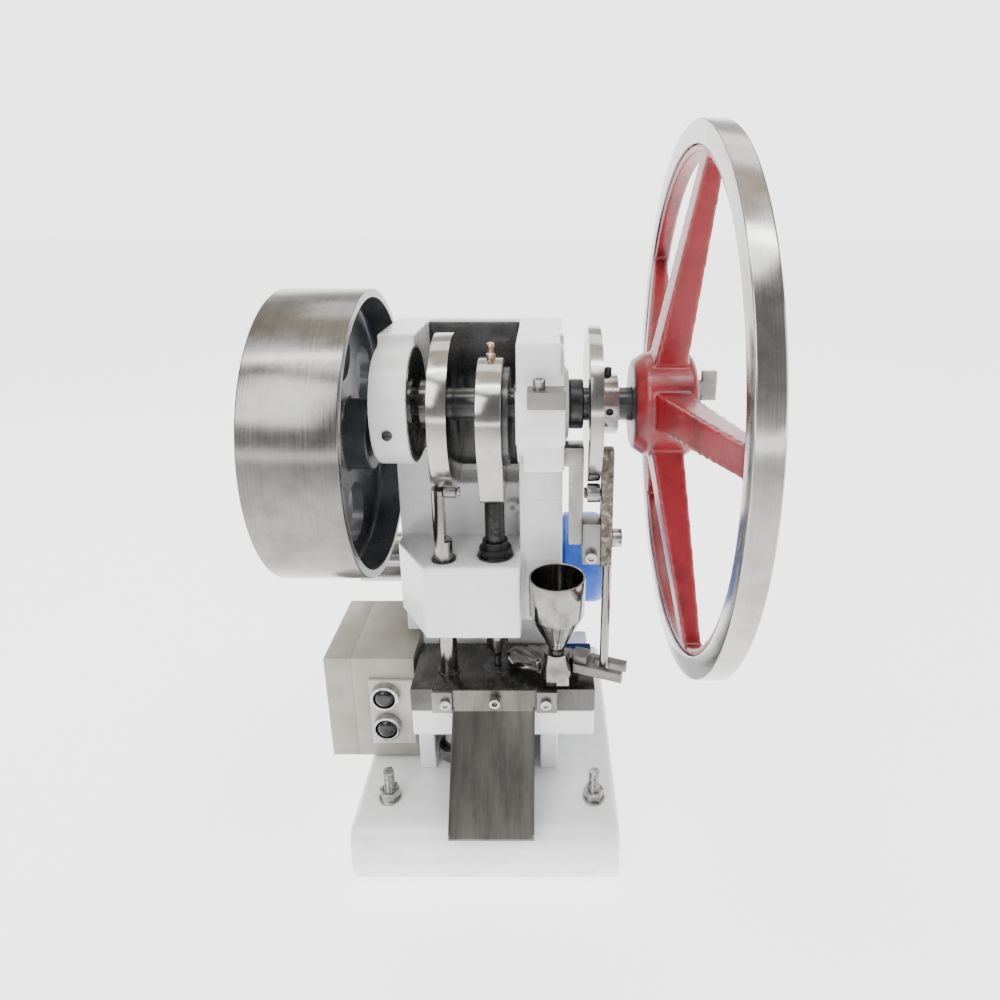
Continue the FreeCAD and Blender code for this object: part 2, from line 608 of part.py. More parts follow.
def make_lift_cam():
    width = "cam_right - cam_left"
    disc = rod("X", ("cam_left", "0", "shaft_height - cam_drop"), "cam_radius", width)
    hub = rod("X", ("cam_hub_left", "0", "shaft_height"), "cam_hub_radius",
              "cam_left - cam_hub_left")
    bore = rod("X", ("cam_hub_left - 1", "0", "shaft_height"), "shaft_radius", "long_cut")
    node("lift_cam", cut(fuse(disc, hub), bore))


def make_sheave():
    """The eccentric on the shaft, with the flange that keeps the strap in place."""
    center = "shaft_height - throw"
    disc = rod("X", ("-strap_half", "0", center), "sheave_radius",
               "strap_half * 2")
    flange = rod("X", ("strap_half + 0.2", "0", center), "sheave_flange_radius",
                 "sheave_flange - strap_half - 0.2")
    step = rod("X", ("strap_half", "0", center), "sheave_radius - 2", "0.2")
    bore = rod("X", ("-long_cut", "0", "shaft_height"), "shaft_radius", "long_cut * 2")
    node("eccentric_sheave", cut(fuse(disc, flange, step), bore))


def make_feed_cam():
    """A disc with a low side to the back, and its hub."""
    width = "feed_cam_right - feed_cam_left"
    full = rod("X", ("feed_cam_left", "0", "shaft_height"), "feed_cam_radius", width)
    low = rod("X", ("feed_cam_left", "-feed_cam_shift", "shaft_height"),
              "feed_cam_radius + 1", width)
    hub = rod("X", ("feed_cam_right", "0", "shaft_height"), "feed_hub_radius",
              "feed_hub_right - feed_cam_right")
    bore = rod("X", ("feed_cam_left - 1", "0", "shaft_height"), "shaft_radius", "long_cut")
    middle = "(feed_cam_right + feed_hub_right) / 2"
    top_hole = rod("Z", (middle, "0", "shaft_height"), "screw_hole", "cut")
    front_hole = rod("Y", (middle, "-cut", "shaft_height"), "screw_hole", "cut")
    node("feed_cam", cut(fuse(common(full, low), hub), bore, top_hole, front_hole))
    upper = rod("Z", (middle, "0", "shaft_height + shaft_radius + 0.1"), "3", "17")
    front = rod("Y", (middle, "-feed_hub_radius + 2", "shaft_height"), "3",
                "feed_hub_radius - shaft_radius - 2.1")
    socket = prism("Z", (middle, "0", "shaft_height + 27"), "3", "6")
    node("feed_cam_screws", group(cut(upper, socket), front))


def make_wheel_rim():
    inner = "rim_radius - rim_thick"
    node("handwheel_rim", turned("X", ("0", "0", "shaft_height"), [
        (inner, "rim_left"), ("rim_radius - 2", "rim_left"), ("rim_radius", "rim_left + 2"),
        ("rim_radius", "rim_right - 2"), ("rim_radius - 2", "rim_right"),
        (inner, "rim_right")]))


def spoke(turn):
    """One tapered spoke, leaning outward from the hub to the rim, turned about the shaft."""
    arm = doc.addObject("Part::Wedge", "Spoke")
    bind(arm, "Ymin", "hub_radius / 2")
    bind(arm, "Ymax", "rim_radius - rim_thick - ring_thick / 2")
    for end, name in (("root", ""), ("tip", "2")):
        bind(arm, f"X{name}min", f"spoke_{end}_left")
        bind(arm, f"X{name}max", f"spoke_{end}_right")
        bind(arm, f"Z{name}min", f"-spoke_{end} / 2")
        bind(arm, f"Z{name}max", f"spoke_{end} / 2")
    upright = FreeCAD.Rotation(FreeCAD.Vector(1, 0, 0), 90)
    swing = FreeCAD.Rotation(FreeCAD.Vector(1, 0, 0), turn)
    return place(arm, ("0", "0", "shaft_height"), swing.multiply(upright))


def make_wheel_spider():
    """The cast hub, ring and five tapered spokes of the handwheel."""
    outer = "rim_radius - rim_thick"
    ring = turned("X", ("0", "0", "shaft_height"), [
        (f"{outer} - ring_thick", "rim_left + 2"), (outer, "rim_left + 2"),
        (outer, "rim_right - 2"), (f"{outer} - ring_thick", "rim_right - 2")])
    hub = turned("X", ("0", "0", "shaft_height"), [
        ("shaft_radius", "hub_left"), ("hub_face_radius", "hub_left"),
        ("hub_face_radius + 2", "hub_left + 1"), ("hub_radius", "hub_big_left"),
        ("hub_radius", "hub_right - 4"), ("hub_radius - 4", "hub_right"),
        ("shaft_radius", "hub_right")])
    count = int(value("spoke_count"))
    arms = []
    for index in range(count):
        turn = value("spoke_turn") + index * 360 / count
        arms.append(spoke(turn))
    bore = rod("X", ("hub_left - 1", "0", "shaft_height"), "shaft_radius", "through_cut")
    node("handwheel_spider", cut(fuse(ring, hub, *arms), bore, key_space()))


def tooth_wheel(teeth, low, high, play, center, length):
    """A toothed prism along +X with involute flanks and a tooth pointing to -Z."""
    module = value("gear_module")
    count = int(value(teeth))
    pitch_radius = module * count / 2
    base_radius = pitch_radius * math.cos(PRESSURE_ANGLE)
    half_tooth = (math.pi * module / 2 + value(play)) / 2 / pitch_radius
    flank = []
    for step in range(FLANK_STEPS + 1):
        radius = value(low) + (value(high) - value(low)) * step / FLANK_STEPS
        lean = math.acos(min(1.0, base_radius / radius))
        flank.append((radius, half_tooth + involute(PRESSURE_ANGLE) - involute(lean)))
    corners = []
    for tooth in range(count):
        middle = 2 * math.pi * tooth / count
        for radius, half in flank:
            corners.append(rim_point(radius, middle - half))
        for radius, half in reversed(flank):
            corners.append(rim_point(radius, middle + half))
    face = Part.Face(Part.makePolygon(corners + corners[:1]))
    wheel = doc.addObject("Part::Feature", "Teeth")
    wheel.Shape = face.extrude(FreeCAD.Vector(value(length), 0, 0))
    spot = FreeCAD.Vector(*[value(text) for text in center])
    wheel.Placement = FreeCAD.Placement(spot, FreeCAD.Rotation())
    return wheel


def involute(angle):
    return math.tan(angle) - angle


def rim_point(radius, angle):
    """A point of a wheel's outline, by its angle from straight down."""
    return FreeCAD.Vector(0, radius * math.sin(angle), -radius * math.cos(angle))


def make_ring_gear():
    """The internal gear on the main shaft's left end, which is also its left journal."""
    pitch = "gear_module * ring_teeth / 2"
    blank = rod("X", ("ring_left", "0", "shaft_height"), "ring_radius",
                "ring_right - ring_left")
    spaces = tooth_wheel("ring_teeth", f"{pitch} - gear_module * 0.8",
                         f"{pitch} + gear_module * 1.15", "gear_play",
                         ("ring_left - 1", "0", "shaft_height"), "ring_web - ring_left + 1")
    bore = rod("X", ("shaft_left", "0", "shaft_height"), "shaft_radius", "short_cut")
    node("ring_gear", cut(blank, spaces, bore))


def make_pinion_shaft():
    """The drum's short axle with the pinion that drives the ring gear."""
    pitch = "gear_module * pinion_teeth / 2"
    axle = rod("X", ("axle_left", "0", DRUM_LINE), "axle_radius",
               "pinion_right - axle_left")
    pinion = tooth_wheel("pinion_teeth", f"{pitch} - gear_module * 1.25",
                         f"{pitch} + gear_module", "-gear_play",
                         ("ring_left", "0", DRUM_LINE), "pinion_right - ring_left")
    node("pinion_shaft", fuse(axle, pinion))


def make_drum():
    """The belt drum: a wide rim on a web with round windows, fixed on the drum axle."""
    inner = "drum_radius - drum_thick"
    body = turned("X", ("0", "0", DRUM_LINE), [
        ("axle_radius", "drum_hub_left"), ("drum_hub_radius", "drum_hub_left"),
        ("drum_hub_radius", "web_left"), (inner, "web_left"), (inner, "drum_left"),
        ("drum_radius - 1", "drum_left"), ("drum_radius", "drum_left + 1"),
        ("drum_radius", "drum_right - 1"), ("drum_radius - 1", "drum_right"),
        (inner, "drum_right"), (inner, "web_right"), ("drum_hub_radius", "web_right"),
        ("drum_hub_radius", "drum_hub_right"), ("axle_radius", "drum_hub_right")])
    count = int(value("drum_windows"))
    windows = []
    for index in range(count):
        angle = 360 * index / count
        windows.append(rod("X", (
            "web_left - 1", f"drum_window_ring * sin({angle} * 1deg)",
            f"{DRUM_LINE} + drum_window_ring * cos({angle} * 1deg)"), "drum_window",
            "web_right - web_left + 2"))
    node("belt_drum", cut(body, *windows))


# ------------------------------------------------------------------ eccentric strap and ram
def make_strap():
    center = "shaft_height - throw"
    ring = rod("X", ("-strap_half", "0", center), "strap_radius", "strap_half * 2")
    foot = box(("-strap_half", "-foot_half", "foot_bottom"),
               ("strap_half", "foot_half", center))
    bore = rod("X", ("-strap_half - 1", "0", center), "sheave_radius + fit_gap",
               "strap_half * 2 + 2")
    top = f"{center} + strap_radius - 1"
    nipple_seat = rod("Z", ("0", "0", top), "nipple_radius", "3")
    pocket = box(("-pocket_wide", "-pocket_half", "foot_bottom - 1"),
                 ("pocket_wide", "pocket_half", "pocket_top"))
    node("eccentric_strap", cut(fuse(ring, foot), bore, pocket, nipple_seat))
    node("grease_nipple", turned("Z", ("0", "0", top), [
        ("0", "0"), ("nipple_radius", "0"), ("nipple_radius", "4"), ("2.4", "5.5"),
        ("2.4", "9"), ("3.2", "10"),
        ("3.2", "nipple_height - 1"), ("1.6", "nipple_height"), ("0", "nipple_height")]))


def make_ram():
    node("ram", turned("Z", ("0", "0", "0"), [
        ("0", "nose_bottom + ram_seat"), ("punch_neck", "nose_bottom + ram_seat"),
        ("punch_neck", "nose_bottom"), ("nose_radius - 1", "nose_bottom"),
        ("nose_radius", "nose_bottom + 2"), ("nose_radius", "ram_bottom - ram_taper"),
        ("ram_radius", "ram_bottom"), ("ram_radius", "block_top + block_lift"),
        ("0", "block_top + block_lift")]))


def make_ram_rod():
    """The black screw rod that takes the ram's height, with a rounded end."""
    node("ram_rod", turned("Z", ("0", "0", "0"), [
        ("0", "block_top + block_lift"), ("rod_radius", "block_top + block_lift"),
        ("rod_radius", "rod_top - rod_round"), ("rod_radius - 1.4", "rod_top - 2.4"),
        ("rod_radius - 4", "rod_top"), ("0", "rod_top")]))


def make_ram_locknut():
    node("ram_locknut", turned("Z", ("0", "0", "0"), [
        ("rod_radius", "block_top + block_lift"), ("locknut_radius - 1", "block_top + block_lift"),
        ("locknut_radius", "block_top + 1.5"), ("locknut_radius", "locknut_top - 1"),
        ("locknut_neck", "locknut_top + 1"), ("locknut_neck", "locknut_step"),
        ("rod_radius", "locknut_step")]))


def make_upper_punch():
    node("upper_punch", turned("Z", ("0", "0", "0"), [
        ("0", "punch_tip"), ("punch_radius", "punch_tip"),
        ("punch_radius", "punch_neck_bottom - 2"), ("punch_neck", "punch_neck_bottom + 4"),
        ("punch_neck", "nose_bottom + ram_seat"), ("0", "nose_bottom + ram_seat")]))


# ------------------------------------------------------------------ lift rod and lower punch
def make_lift_rod():
    """The round lift rod with its milled flat and the riveted roller pin on it."""
    bar = rod("Z", ("lift_x", "lift_y", "lift_bottom"), "lift_radius",
              "lift_top - lift_bottom")
    flat = box(("lift_flat", "lift_y - 20", "lift_flat_bottom"),
               ("lift_flat + 20", "lift_y + 20", "lift_top + 1"))
    pin = rod("X", ("lift_x", "lift_y", "roller_z"), "roller_pin",
              "roller_pin_end - lift_x - 2")
    head = rod("X", ("roller_pin_end - 2", "lift_y", "roller_z"), "roller_pin + pin_step", "2")
    node("lift_rod", fuse(cut(bar, flat), pin, head))


def make_lift_roller():
    wheel = rod("X", ("roller_left", "lift_y", "roller_z"), "roller_radius",
                "roller_right - roller_left")
    bore = rod("X", ("roller_left - 1", "lift_y", "roller_z"), "roller_pin + fit_gap",
               "roller_right - roller_left + 2")
    node("lift_roller", cut(wheel, bore))


def make_yoke():
    """The crosshead that ties the lower punch to the lift rod."""
    bar = box(("lift_x", "-yoke_half", "yoke_bottom"), ("yoke_half", "yoke_half", "yoke_top"))
    eye = rod("Z", ("lift_x", "lift_y", "yoke_bottom"), "lift_radius + eye_wall",
              "yoke_top - yoke_bottom")
    lift_hole = rod("Z", ("lift_x", "lift_y", "yoke_bottom - 1"), "lift_radius", "cut")
    punch_hole = rod("Z", ("0", "0", "yoke_bottom - 1"), "shank_radius", "cut")
    node("lift_yoke", cut(fuse(bar, eye), lift_hole, punch_hole))


def make_lower_punch():
    node("lower_punch", turned("Z", ("0", "0", "0"), [
        ("0", "yoke_bottom - 1"), ("shank_radius", "yoke_bottom - 1"),
        ("shank_radius", "shank_top - shank_taper"), ("punch_radius", "shank_top"),
        ("punch_radius", "lower_tip"), ("0", "lower_tip")]))


# ------------------------------------------------------------------ powder feed
def make_swing_bracket():
    """The bar that hangs from the right bearing and the block that carries the pivot."""
    bar = box(("hang_left", "hang_front", "hang_bottom"),
              ("hang_right", "hang_back", "hang_top"))
    tab = box(("wall_right", "hang_front", "gusset_bottom + 2"),
              ("hang_left", "hang_back", "hang_top"))
    node("swing_bracket", fuse(bar, tab))
    block = box(("hang_right", "pivot_block_front", "pivot_block_bottom"),
                ("pivot_block_right", "pivot_block_back", "pivot_block_top"))
    pin_hole = rod("X", ("hang_right - 1", "pivot_y", "pivot_z"), "pivot_pin", "short_cut")
    screw_hole = rod("Y", ("block_screw_x", "pivot_block_front - 1",
                           "pivot_block_bottom + 8"), "screw_hole", "10")
    node("pivot_block", cut(block, pin_hole, screw_hole))


def make_pivot_screw():
    shank = rod("X", ("hang_right", "pivot_y", "pivot_z"), "pivot_pin",
                "arm_right + arm_gap - hang_right")
    head = rod("X", ("arm_right + arm_gap", "pivot_y", "pivot_z"), "pivot_head",
               "pivot_head_right - arm_right - arm_gap")
    slot = box(("pivot_head_right - 3", "pivot_y - 10", "pivot_z - 1"),
               ("pivot_head_right + 1", "pivot_y + 10", "pivot_z + 1"))
    node("pivot_screw", cut(fuse(shank, head), slot))


def make_swing_arm():
    """The dark tapered arm with its riveted roller pin."""
    low = "pivot_y - arm_low_half"
    bar = slab("YZ_Plane", [
        (low, "arm_bottom"), ("pivot_y + arm_low_half", "arm_bottom"),
        ("pivot_y + arm_low_half", "pivot_z + 10"), ("pivot_y + arm_top_half", "arm_top"),
        ("pivot_y - arm_top_half", "arm_top"), (low, "pivot_z + 10")],
        "arm_left", "arm_right - arm_left")
    pivot = rod("X", ("arm_left - 1", "pivot_y", "pivot_z"), "pivot_pin + fit_gap", "short_cut")
    socket = rod("Z", ("feed_rod_x", "pivot_y", "arm_bottom - 1"), "feed_rod_radius",
                 "feed_rod_top - arm_bottom + 1")
    edge = box(("feed_rod_x", "pivot_y - 5", "arm_bottom - 1"),
               ("arm_right + 1", "pivot_y + 5", "feed_rod_top"))
    pin = rod("X", ("feed_roller_left - 1.5", "feed_roller_y", "feed_roller_z"), "roller_stub",
              "arm_left + 1 - feed_roller_left + 1.5")
    head = rod("X", ("feed_roller_left - 2.5", "feed_roller_y", "feed_roller_z"), "roller_head",
               "2")
    node("swing_arm", fuse(cut(bar, pivot, socket, edge), pin, head))


def make_feed_rod():
    """A thin round rod with a slightly larger tip that runs in the fork."""
    node("feed_rod", turned("Z", ("feed_rod_x", "pivot_y", "0"), [
        ("0", "feed_rod_bottom"), ("rod_ball", "feed_rod_bottom"),
        ("rod_collar", "feed_rod_bottom + 1.5"),
        ("rod_collar", "feed_rod_bottom + rod_collar_rise"),
        ("feed_rod_radius", "feed_rod_bottom + rod_collar_rise"),
        ("feed_rod_radius", "feed_rod_top"), ("0", "feed_rod_top")]))


def make_feed_roller():
    wheel = rod("X", ("feed_roller_left", "feed_roller_y", "feed_roller_z"),
                "feed_roller_radius", "feed_roller_right - feed_roller_left")
    bore = rod("X", ("feed_roller_left - 1", "feed_roller_y", "feed_roller_z"),
               "roller_stub + fit_gap", "short_cut")
    node("feed_roller", cut(wheel, bore))


def make_shoe_post():
    """The pin in the plate that the feed shoe turns on."""
    post = rod("Z", ("shoe_x", "shoe_y", "table_top"), "post_radius",
               "post_top - table_top + post_deep")
    node("shoe_post", post)


def make_feed_shoe():
    """A fan-shaped shoe with a raised neck and a powder well under the hopper."""
    reach = [("shoe_x - 53.5", "shoe_y + 19"), ("shoe_x - 52", "shoe_y + 12"),
             ("shoe_x - 16", "shoe_y - 19.5"), ("shoe_x + 4", "shoe_y - 19.5"),
             ("shoe_x + 13", "shoe_y - 8"), ("shoe_x + 11", "shoe_y + 10"),
             ("shoe_x - 12", "shoe_y + 30"), ("shoe_x - 47", "shoe_y + 27")]
    fan = slab("XY_Plane", reach, "shoe_bottom", "shoe_top - shoe_bottom")
    hub = rod("Z", ("shoe_x", "shoe_y", "shoe_top"), "fork_hub", "fork_bottom - shoe_top")
    neck = turned("Z", ("hopper_x", "hopper_y", "0"), [
        ("0", "shoe_top"), ("neck_foot", "shoe_top"),
        ("neck_ring", "hopper_neck_top - neck_low"),
        ("neck_ring", "hopper_neck_top - neck_rise"), ("0", "hopper_neck_top - neck_rise")])
    well = rod("Z", ("hopper_x", "hopper_y", "shoe_bottom - 1"), "hopper_neck", "long_cut")
    pivot = rod("Z", ("shoe_x", "shoe_y", "shoe_bottom - 1"), "post_radius + fit_gap", "long_cut")
    boss_space = rod("Z", ("shoe_x", "shoe_y", "fork_bottom - skin"), "fork_hub_room", "long_cut")
    screw_hole = rod("Z", ("shoe_screw_x", "shoe_screw_y", "shoe_top - shoe_screw_deep"),
                     "shoe_screw_radius", "shoe_screw_deep + 1")
    node("feed_shoe", cut(fuse(fan, hub, neck), well, pivot, boss_space, screw_hole))


def make_feed_fork():
    """The lever on the shoe's hub, slotted for the feed rod."""
    bar = box(("0", "-fork_half", "0"), ("fork_end", "fork_half", "fork_top - fork_bottom"))
    slot = box(("fork_slot_start", "-fork_slot", "-1"), ("fork_end + 1", "fork_slot", "short_cut"))
    hub = rod("Z", ("0", "0", "0"), "fork_hub", "fork_top - fork_bottom")
    block = box(("fork_block_start", "-fork_block_half", "0"),
                ("fork_block_end", "fork_block_half", "fork_block_top - fork_bottom"))
    pivot = rod("Z", ("0", "0", "-1"), "post_radius + fit_gap", "short_cut")
    lever = cut(fuse(bar, hub, block), slot, pivot)
    turn = FreeCAD.Rotation(FreeCAD.Vector(0, 0, 1), value("fork_turn"))
    place(lever, ("shoe_x", "shoe_y", "fork_bottom"), turn)
    neck = rod("Z", ("hopper_x", "hopper_y", "fork_bottom - 1"), "neck_room", "short_cut")
    node("feed_fork", cut(lever, neck))


def make_hopper():
    inner = "hopper_radius - hopper_wall"
    throat = "hopper_neck - hopper_wall"
    node("feed_hopper", turned("Z", ("hopper_x", "hopper_y", "0"), [
        (throat, "hopper_neck_top - spout"), ("hopper_neck", "hopper_neck_top - spout"),
        ("hopper_neck", "hopper_neck_top"), ("hopper_radius", "hopper_knee"),
        ("hopper_radius", "hopper_rim"), (inner, "hopper_rim"), (inner, "hopper_knee + cone_skin"),
        (throat, "hopper_neck_top + cone_skin")]))


def make_shoe_screw():
    start = ("shoe_screw_x", "shoe_screw_y", "shoe_top - shoe_screw_deep")
    node("shoe_screw", socket_screw("Z", start, "shoe_screw_radius", "shoe_screw_deep", "4"))


# ------------------------------------------------------------------ control box
def shell(low, high, open_side):
    """A box wall with one open side, as a folded sheet case has."""
    outer = box(low, high)
    inner_low = [f"{text} + case_wall" for text in low]
    inner_high = [f"{text} - case_wall" for text in high]
    if open_side == "left":
        inner_low[0] = f"{low[0]} - 1"
    else:
        inner_high[0] = f"{high[0]} + 1"
    return cut(outer, box(inner_low, inner_high))


def make_control_case():
    body = shell(("case_seam", "case_front", "case_bottom"),
                 ("case_right", "case_back", "case_top"), "left")
    holes = [rod("Y", ("button_x", "case_front - 1", z), "button_radius + button_gap",
                 "case_wall + 2") for z in ("start_z", "stop_z")]
    node("control_case", cut(body, *holes))
    node("control_cover", shell(("case_left", "case_front", "case_bottom"),
                                ("case_seam", "case_back", "case_top"), "right"))


def make_button_panel():
    plate = box(("panel_left", "panel_front", "panel_bottom"),
                ("panel_right", "case_front", "panel_top"))
    holes = [rod("Y", ("button_x", "panel_front - 1", z), "button_radius + button_gap", "6")
             for z in ("start_z", "stop_z")]
    node("button_panel", cut(plate, *holes))


def make_buttons():
    bezels = []
    for name, z in (("start_button", "start_z"), ("stop_button", "stop_z")):
        ring = rod("Y", ("button_x", "bezel_front", z), "bezel_radius",
                   "panel_front - bezel_front")
        hole = rod("Y", ("button_x", "bezel_front - 1", z), "button_radius + button_gap",
                   "panel_front - bezel_front + 2")
        bezels.append(cut(ring, hole))
        node(name, rod("Y", ("button_x", "button_front", z), "button_radius",
                       "button_back - button_front"))
    node("button_bezels", group(*bezels))


# ------------------------------------------------------------------ motor
def make_motor():
    center = ("motor_y", "motor_z")
    core = rod("X", ("motor_left", *center), "motor_radius", "motor_seam - motor_left")
    fins = []
    count = int(value("fin_count"))
    for index in range(count):
        angle = 360 * (index + 0.5) / count
        fin = box(("motor_left + fin_start", "-fin_half", "motor_radius - 3"),
                  ("motor_seam - fin_end", "fin_half", "motor_radius + fin_rise"))
        turn = FreeCAD.Rotation(FreeCAD.Vector(1, 0, 0), angle)
        far = value("motor_radius") - 3
        shift = turn.multVec(FreeCAD.Vector(0, -1.5, far))
        fin.Placement = FreeCAD.Placement(FreeCAD.Vector(), turn)
        bind(fin, "Placement.Base.x", "motor_left + fin_start")
        bind(fin, "Placement.Base.y", f"motor_y + ({shift.y})")
        bind(fin, "Placement.Base.z", f"motor_z + ({shift.z})")
        fins.append(fin)
    bore = rod("X", ("motor_left - 1", *center), "motor_shaft + fit_gap", "through_cut")
    node("motor_body", cut(fuse(core, *fins), bore))


def make_fan_cover():
    center = ("motor_y", "motor_z")
    outer = rod("X", ("motor_seam", *center), "fan_radius", "motor_right - motor_seam")
    limit = value("motor_right") - 0.1
    outer = rounded(outer, "fan_radius / 4", lambda edge, middle: middle.x > limit)
    inner = rod("X", ("motor_seam - 1", *center), "fan_radius - fan_wall",
                "motor_right - motor_seam + 1 - fan_wall * 3")
    vents = [rod("X", ("motor_right - vent_start",
                       f"motor_y + vent_ring * sin({60 * k} * 1deg)",
                       f"motor_z + vent_ring * cos({60 * k} * 1deg)"),
                 "vent_radius", "short_cut")
             for k in range(6)]
    node("motor_fan_cover", cut(outer, inner, *vents))


def make_motor_bracket():
    """A welded stand: foot plate, two side cheeks and a saddle under the motor."""
    foot = box(("bracket_left - stand_lip", "bracket_front", "base_top"),
               ("bracket_right + stand_lip", "base_back - stand_back", "base_top + bracket_thick"))
    cheeks = [box((x, "motor_y - cheek_half", "base_top"),
                  (f"{x} + bracket_thick", "motor_y + cheek_half", "motor_z - cheek_drop"))
              for x in ("bracket_left", "bracket_right - bracket_thick")]
    motor = rod("X", ("bracket_left - short_cut", "motor_y", "motor_z"), "motor_radius + fin_rise",
                "bracket_right - bracket_left + long_cut")
    node("motor_bracket", cut(fuse(foot, *cheeks), motor))


def make_bracket_bolts():
    bolts = []
    for x in ("bracket_left", "bracket_right"):
        for y in ("bracket_front + bolt_inset", "base_back - bolt_back"):
            bolts.append(prism("Z", (x, y, "base_top + bracket_thick"), "bolt_flats",
                               "bolt_thick"))
    node("bracket_bolts", group(*bolts))


def make_motor_pulley():
    """The rotor shaft with its flat-belt pulley."""
    center = ("motor_y", "motor_z")
    shaft = rod("X", ("motor_shaft_left", *center), "motor_shaft",
                "motor_left + 40 - motor_shaft_left")
    wheel = turned("X", ("0", *center), [
        ("motor_shaft", "pulley_left"), ("pulley_radius - 1", "pulley_left"),
        ("pulley_radius", "pulley_left + 1"), ("pulley_radius", "pulley_right - 1"),
        ("pulley_radius - 1", "pulley_right"), ("motor_shaft", "pulley_right")])
    node("motor_pulley", fuse(shaft, wheel))


def make_all():
    make_base()
    make_base_studs()
    make_stud_washers()
    make_stud_nuts()
    make_frame_casting()
    make_bushes()
    make_bearing_clamp()
    make_oil_plug()
    make_die_plate()
    make_die()
    make_clamp_blocks()
    make_cap_screws()
    make_chute()
    make_punch_sleeve()
    make_gear("fill_gear", "fill_gear_bottom")
    make_gear("ejection_gear", "lift_gear_bottom")
    make_main_shaft()
    make_key()
    make_collar()
    make_lift_cam()
    make_sheave()
    make_feed_cam()
    make_wheel_rim()
    make_wheel_spider()
    make_ring_gear()
    make_pinion_shaft()
    make_drum()
    make_strap()
    make_ram()
    make_ram_rod()
    make_ram_locknut()
    make_upper_punch()
    make_lift_rod()
    make_lift_roller()
    make_yoke()
    make_lower_punch()
    make_swing_bracket()
    make_pivot_screw()
    make_swing_arm()
    make_feed_rod()
    make_feed_roller()
    make_shoe_post()
    make_feed_shoe()
    make_feed_fork()
    make_hopper()
    make_shoe_screw()
    make_control_case()
    make_button_panel()
    make_buttons()
    make_motor()
    make_fan_cover()
    make_motor_bracket()
    make_bracket_bolts()
    make_motor_pulley()


def check_and_write():
    doc.recompute()
    for thing in doc.Objects:
        if "Invalid" in thing.State or "Error" in thing.State:
            raise RuntimeError(f"{thing.Name} ({thing.Label}) failed: {thing.State}")
    os.makedirs("parts", exist_ok=True)
    for thing in nodes:
        shape = thing.Shape
        if shape.isNull() or not shape.isValid() or not shape.Solids:
            raise RuntimeError(f"{thing.Label} has no valid solid")
    for thing in nodes:
        thing.Shape.exportStep(f"parts/{thing.Label}.step")
    print(len(nodes), "nodes written")


make_all()
check_and_write()
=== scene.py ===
import json
import math

import bmesh
import bpy
from mathutils import Matrix, Vector
from mathutils.geometry import convex_hull_2d


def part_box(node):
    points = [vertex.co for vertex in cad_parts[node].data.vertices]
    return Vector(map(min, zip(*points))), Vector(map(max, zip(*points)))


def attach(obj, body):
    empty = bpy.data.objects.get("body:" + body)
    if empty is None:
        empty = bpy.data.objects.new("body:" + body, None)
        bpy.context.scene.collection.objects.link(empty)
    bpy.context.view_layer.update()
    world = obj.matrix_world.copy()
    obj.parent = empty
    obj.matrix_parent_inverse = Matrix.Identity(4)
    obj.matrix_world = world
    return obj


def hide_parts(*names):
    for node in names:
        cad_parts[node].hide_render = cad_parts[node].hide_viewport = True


# Looks of the tablet press.  Everything is in metres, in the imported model's frame:
# +X to the handwheel, +Y to the back, +Z up, the punch line on X = 0, Y = 0.
MM = 0.001
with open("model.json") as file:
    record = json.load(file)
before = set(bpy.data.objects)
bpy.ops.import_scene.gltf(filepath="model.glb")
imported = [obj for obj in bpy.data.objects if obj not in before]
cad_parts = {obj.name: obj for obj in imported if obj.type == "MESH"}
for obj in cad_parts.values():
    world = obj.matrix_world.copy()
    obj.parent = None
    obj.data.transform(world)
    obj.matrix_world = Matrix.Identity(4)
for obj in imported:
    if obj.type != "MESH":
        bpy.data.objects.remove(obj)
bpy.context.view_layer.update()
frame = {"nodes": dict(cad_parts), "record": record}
NODES = frame["nodes"]
BODY_OF = {node: body for body, members in frame["record"]["behaviour"]["bodies"].items()
           for node in members}


def node_box(name):
    low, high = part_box(name)
    return Vector(low), Vector(high)


def node_center(name):
    low, high = node_box(name)
    return (low + high) / 2


SHAFT = node_center("main_shaft")          # the shaft line runs along X through this point
DRUM = node_center("belt_drum")            # the drum's own line, below the shaft


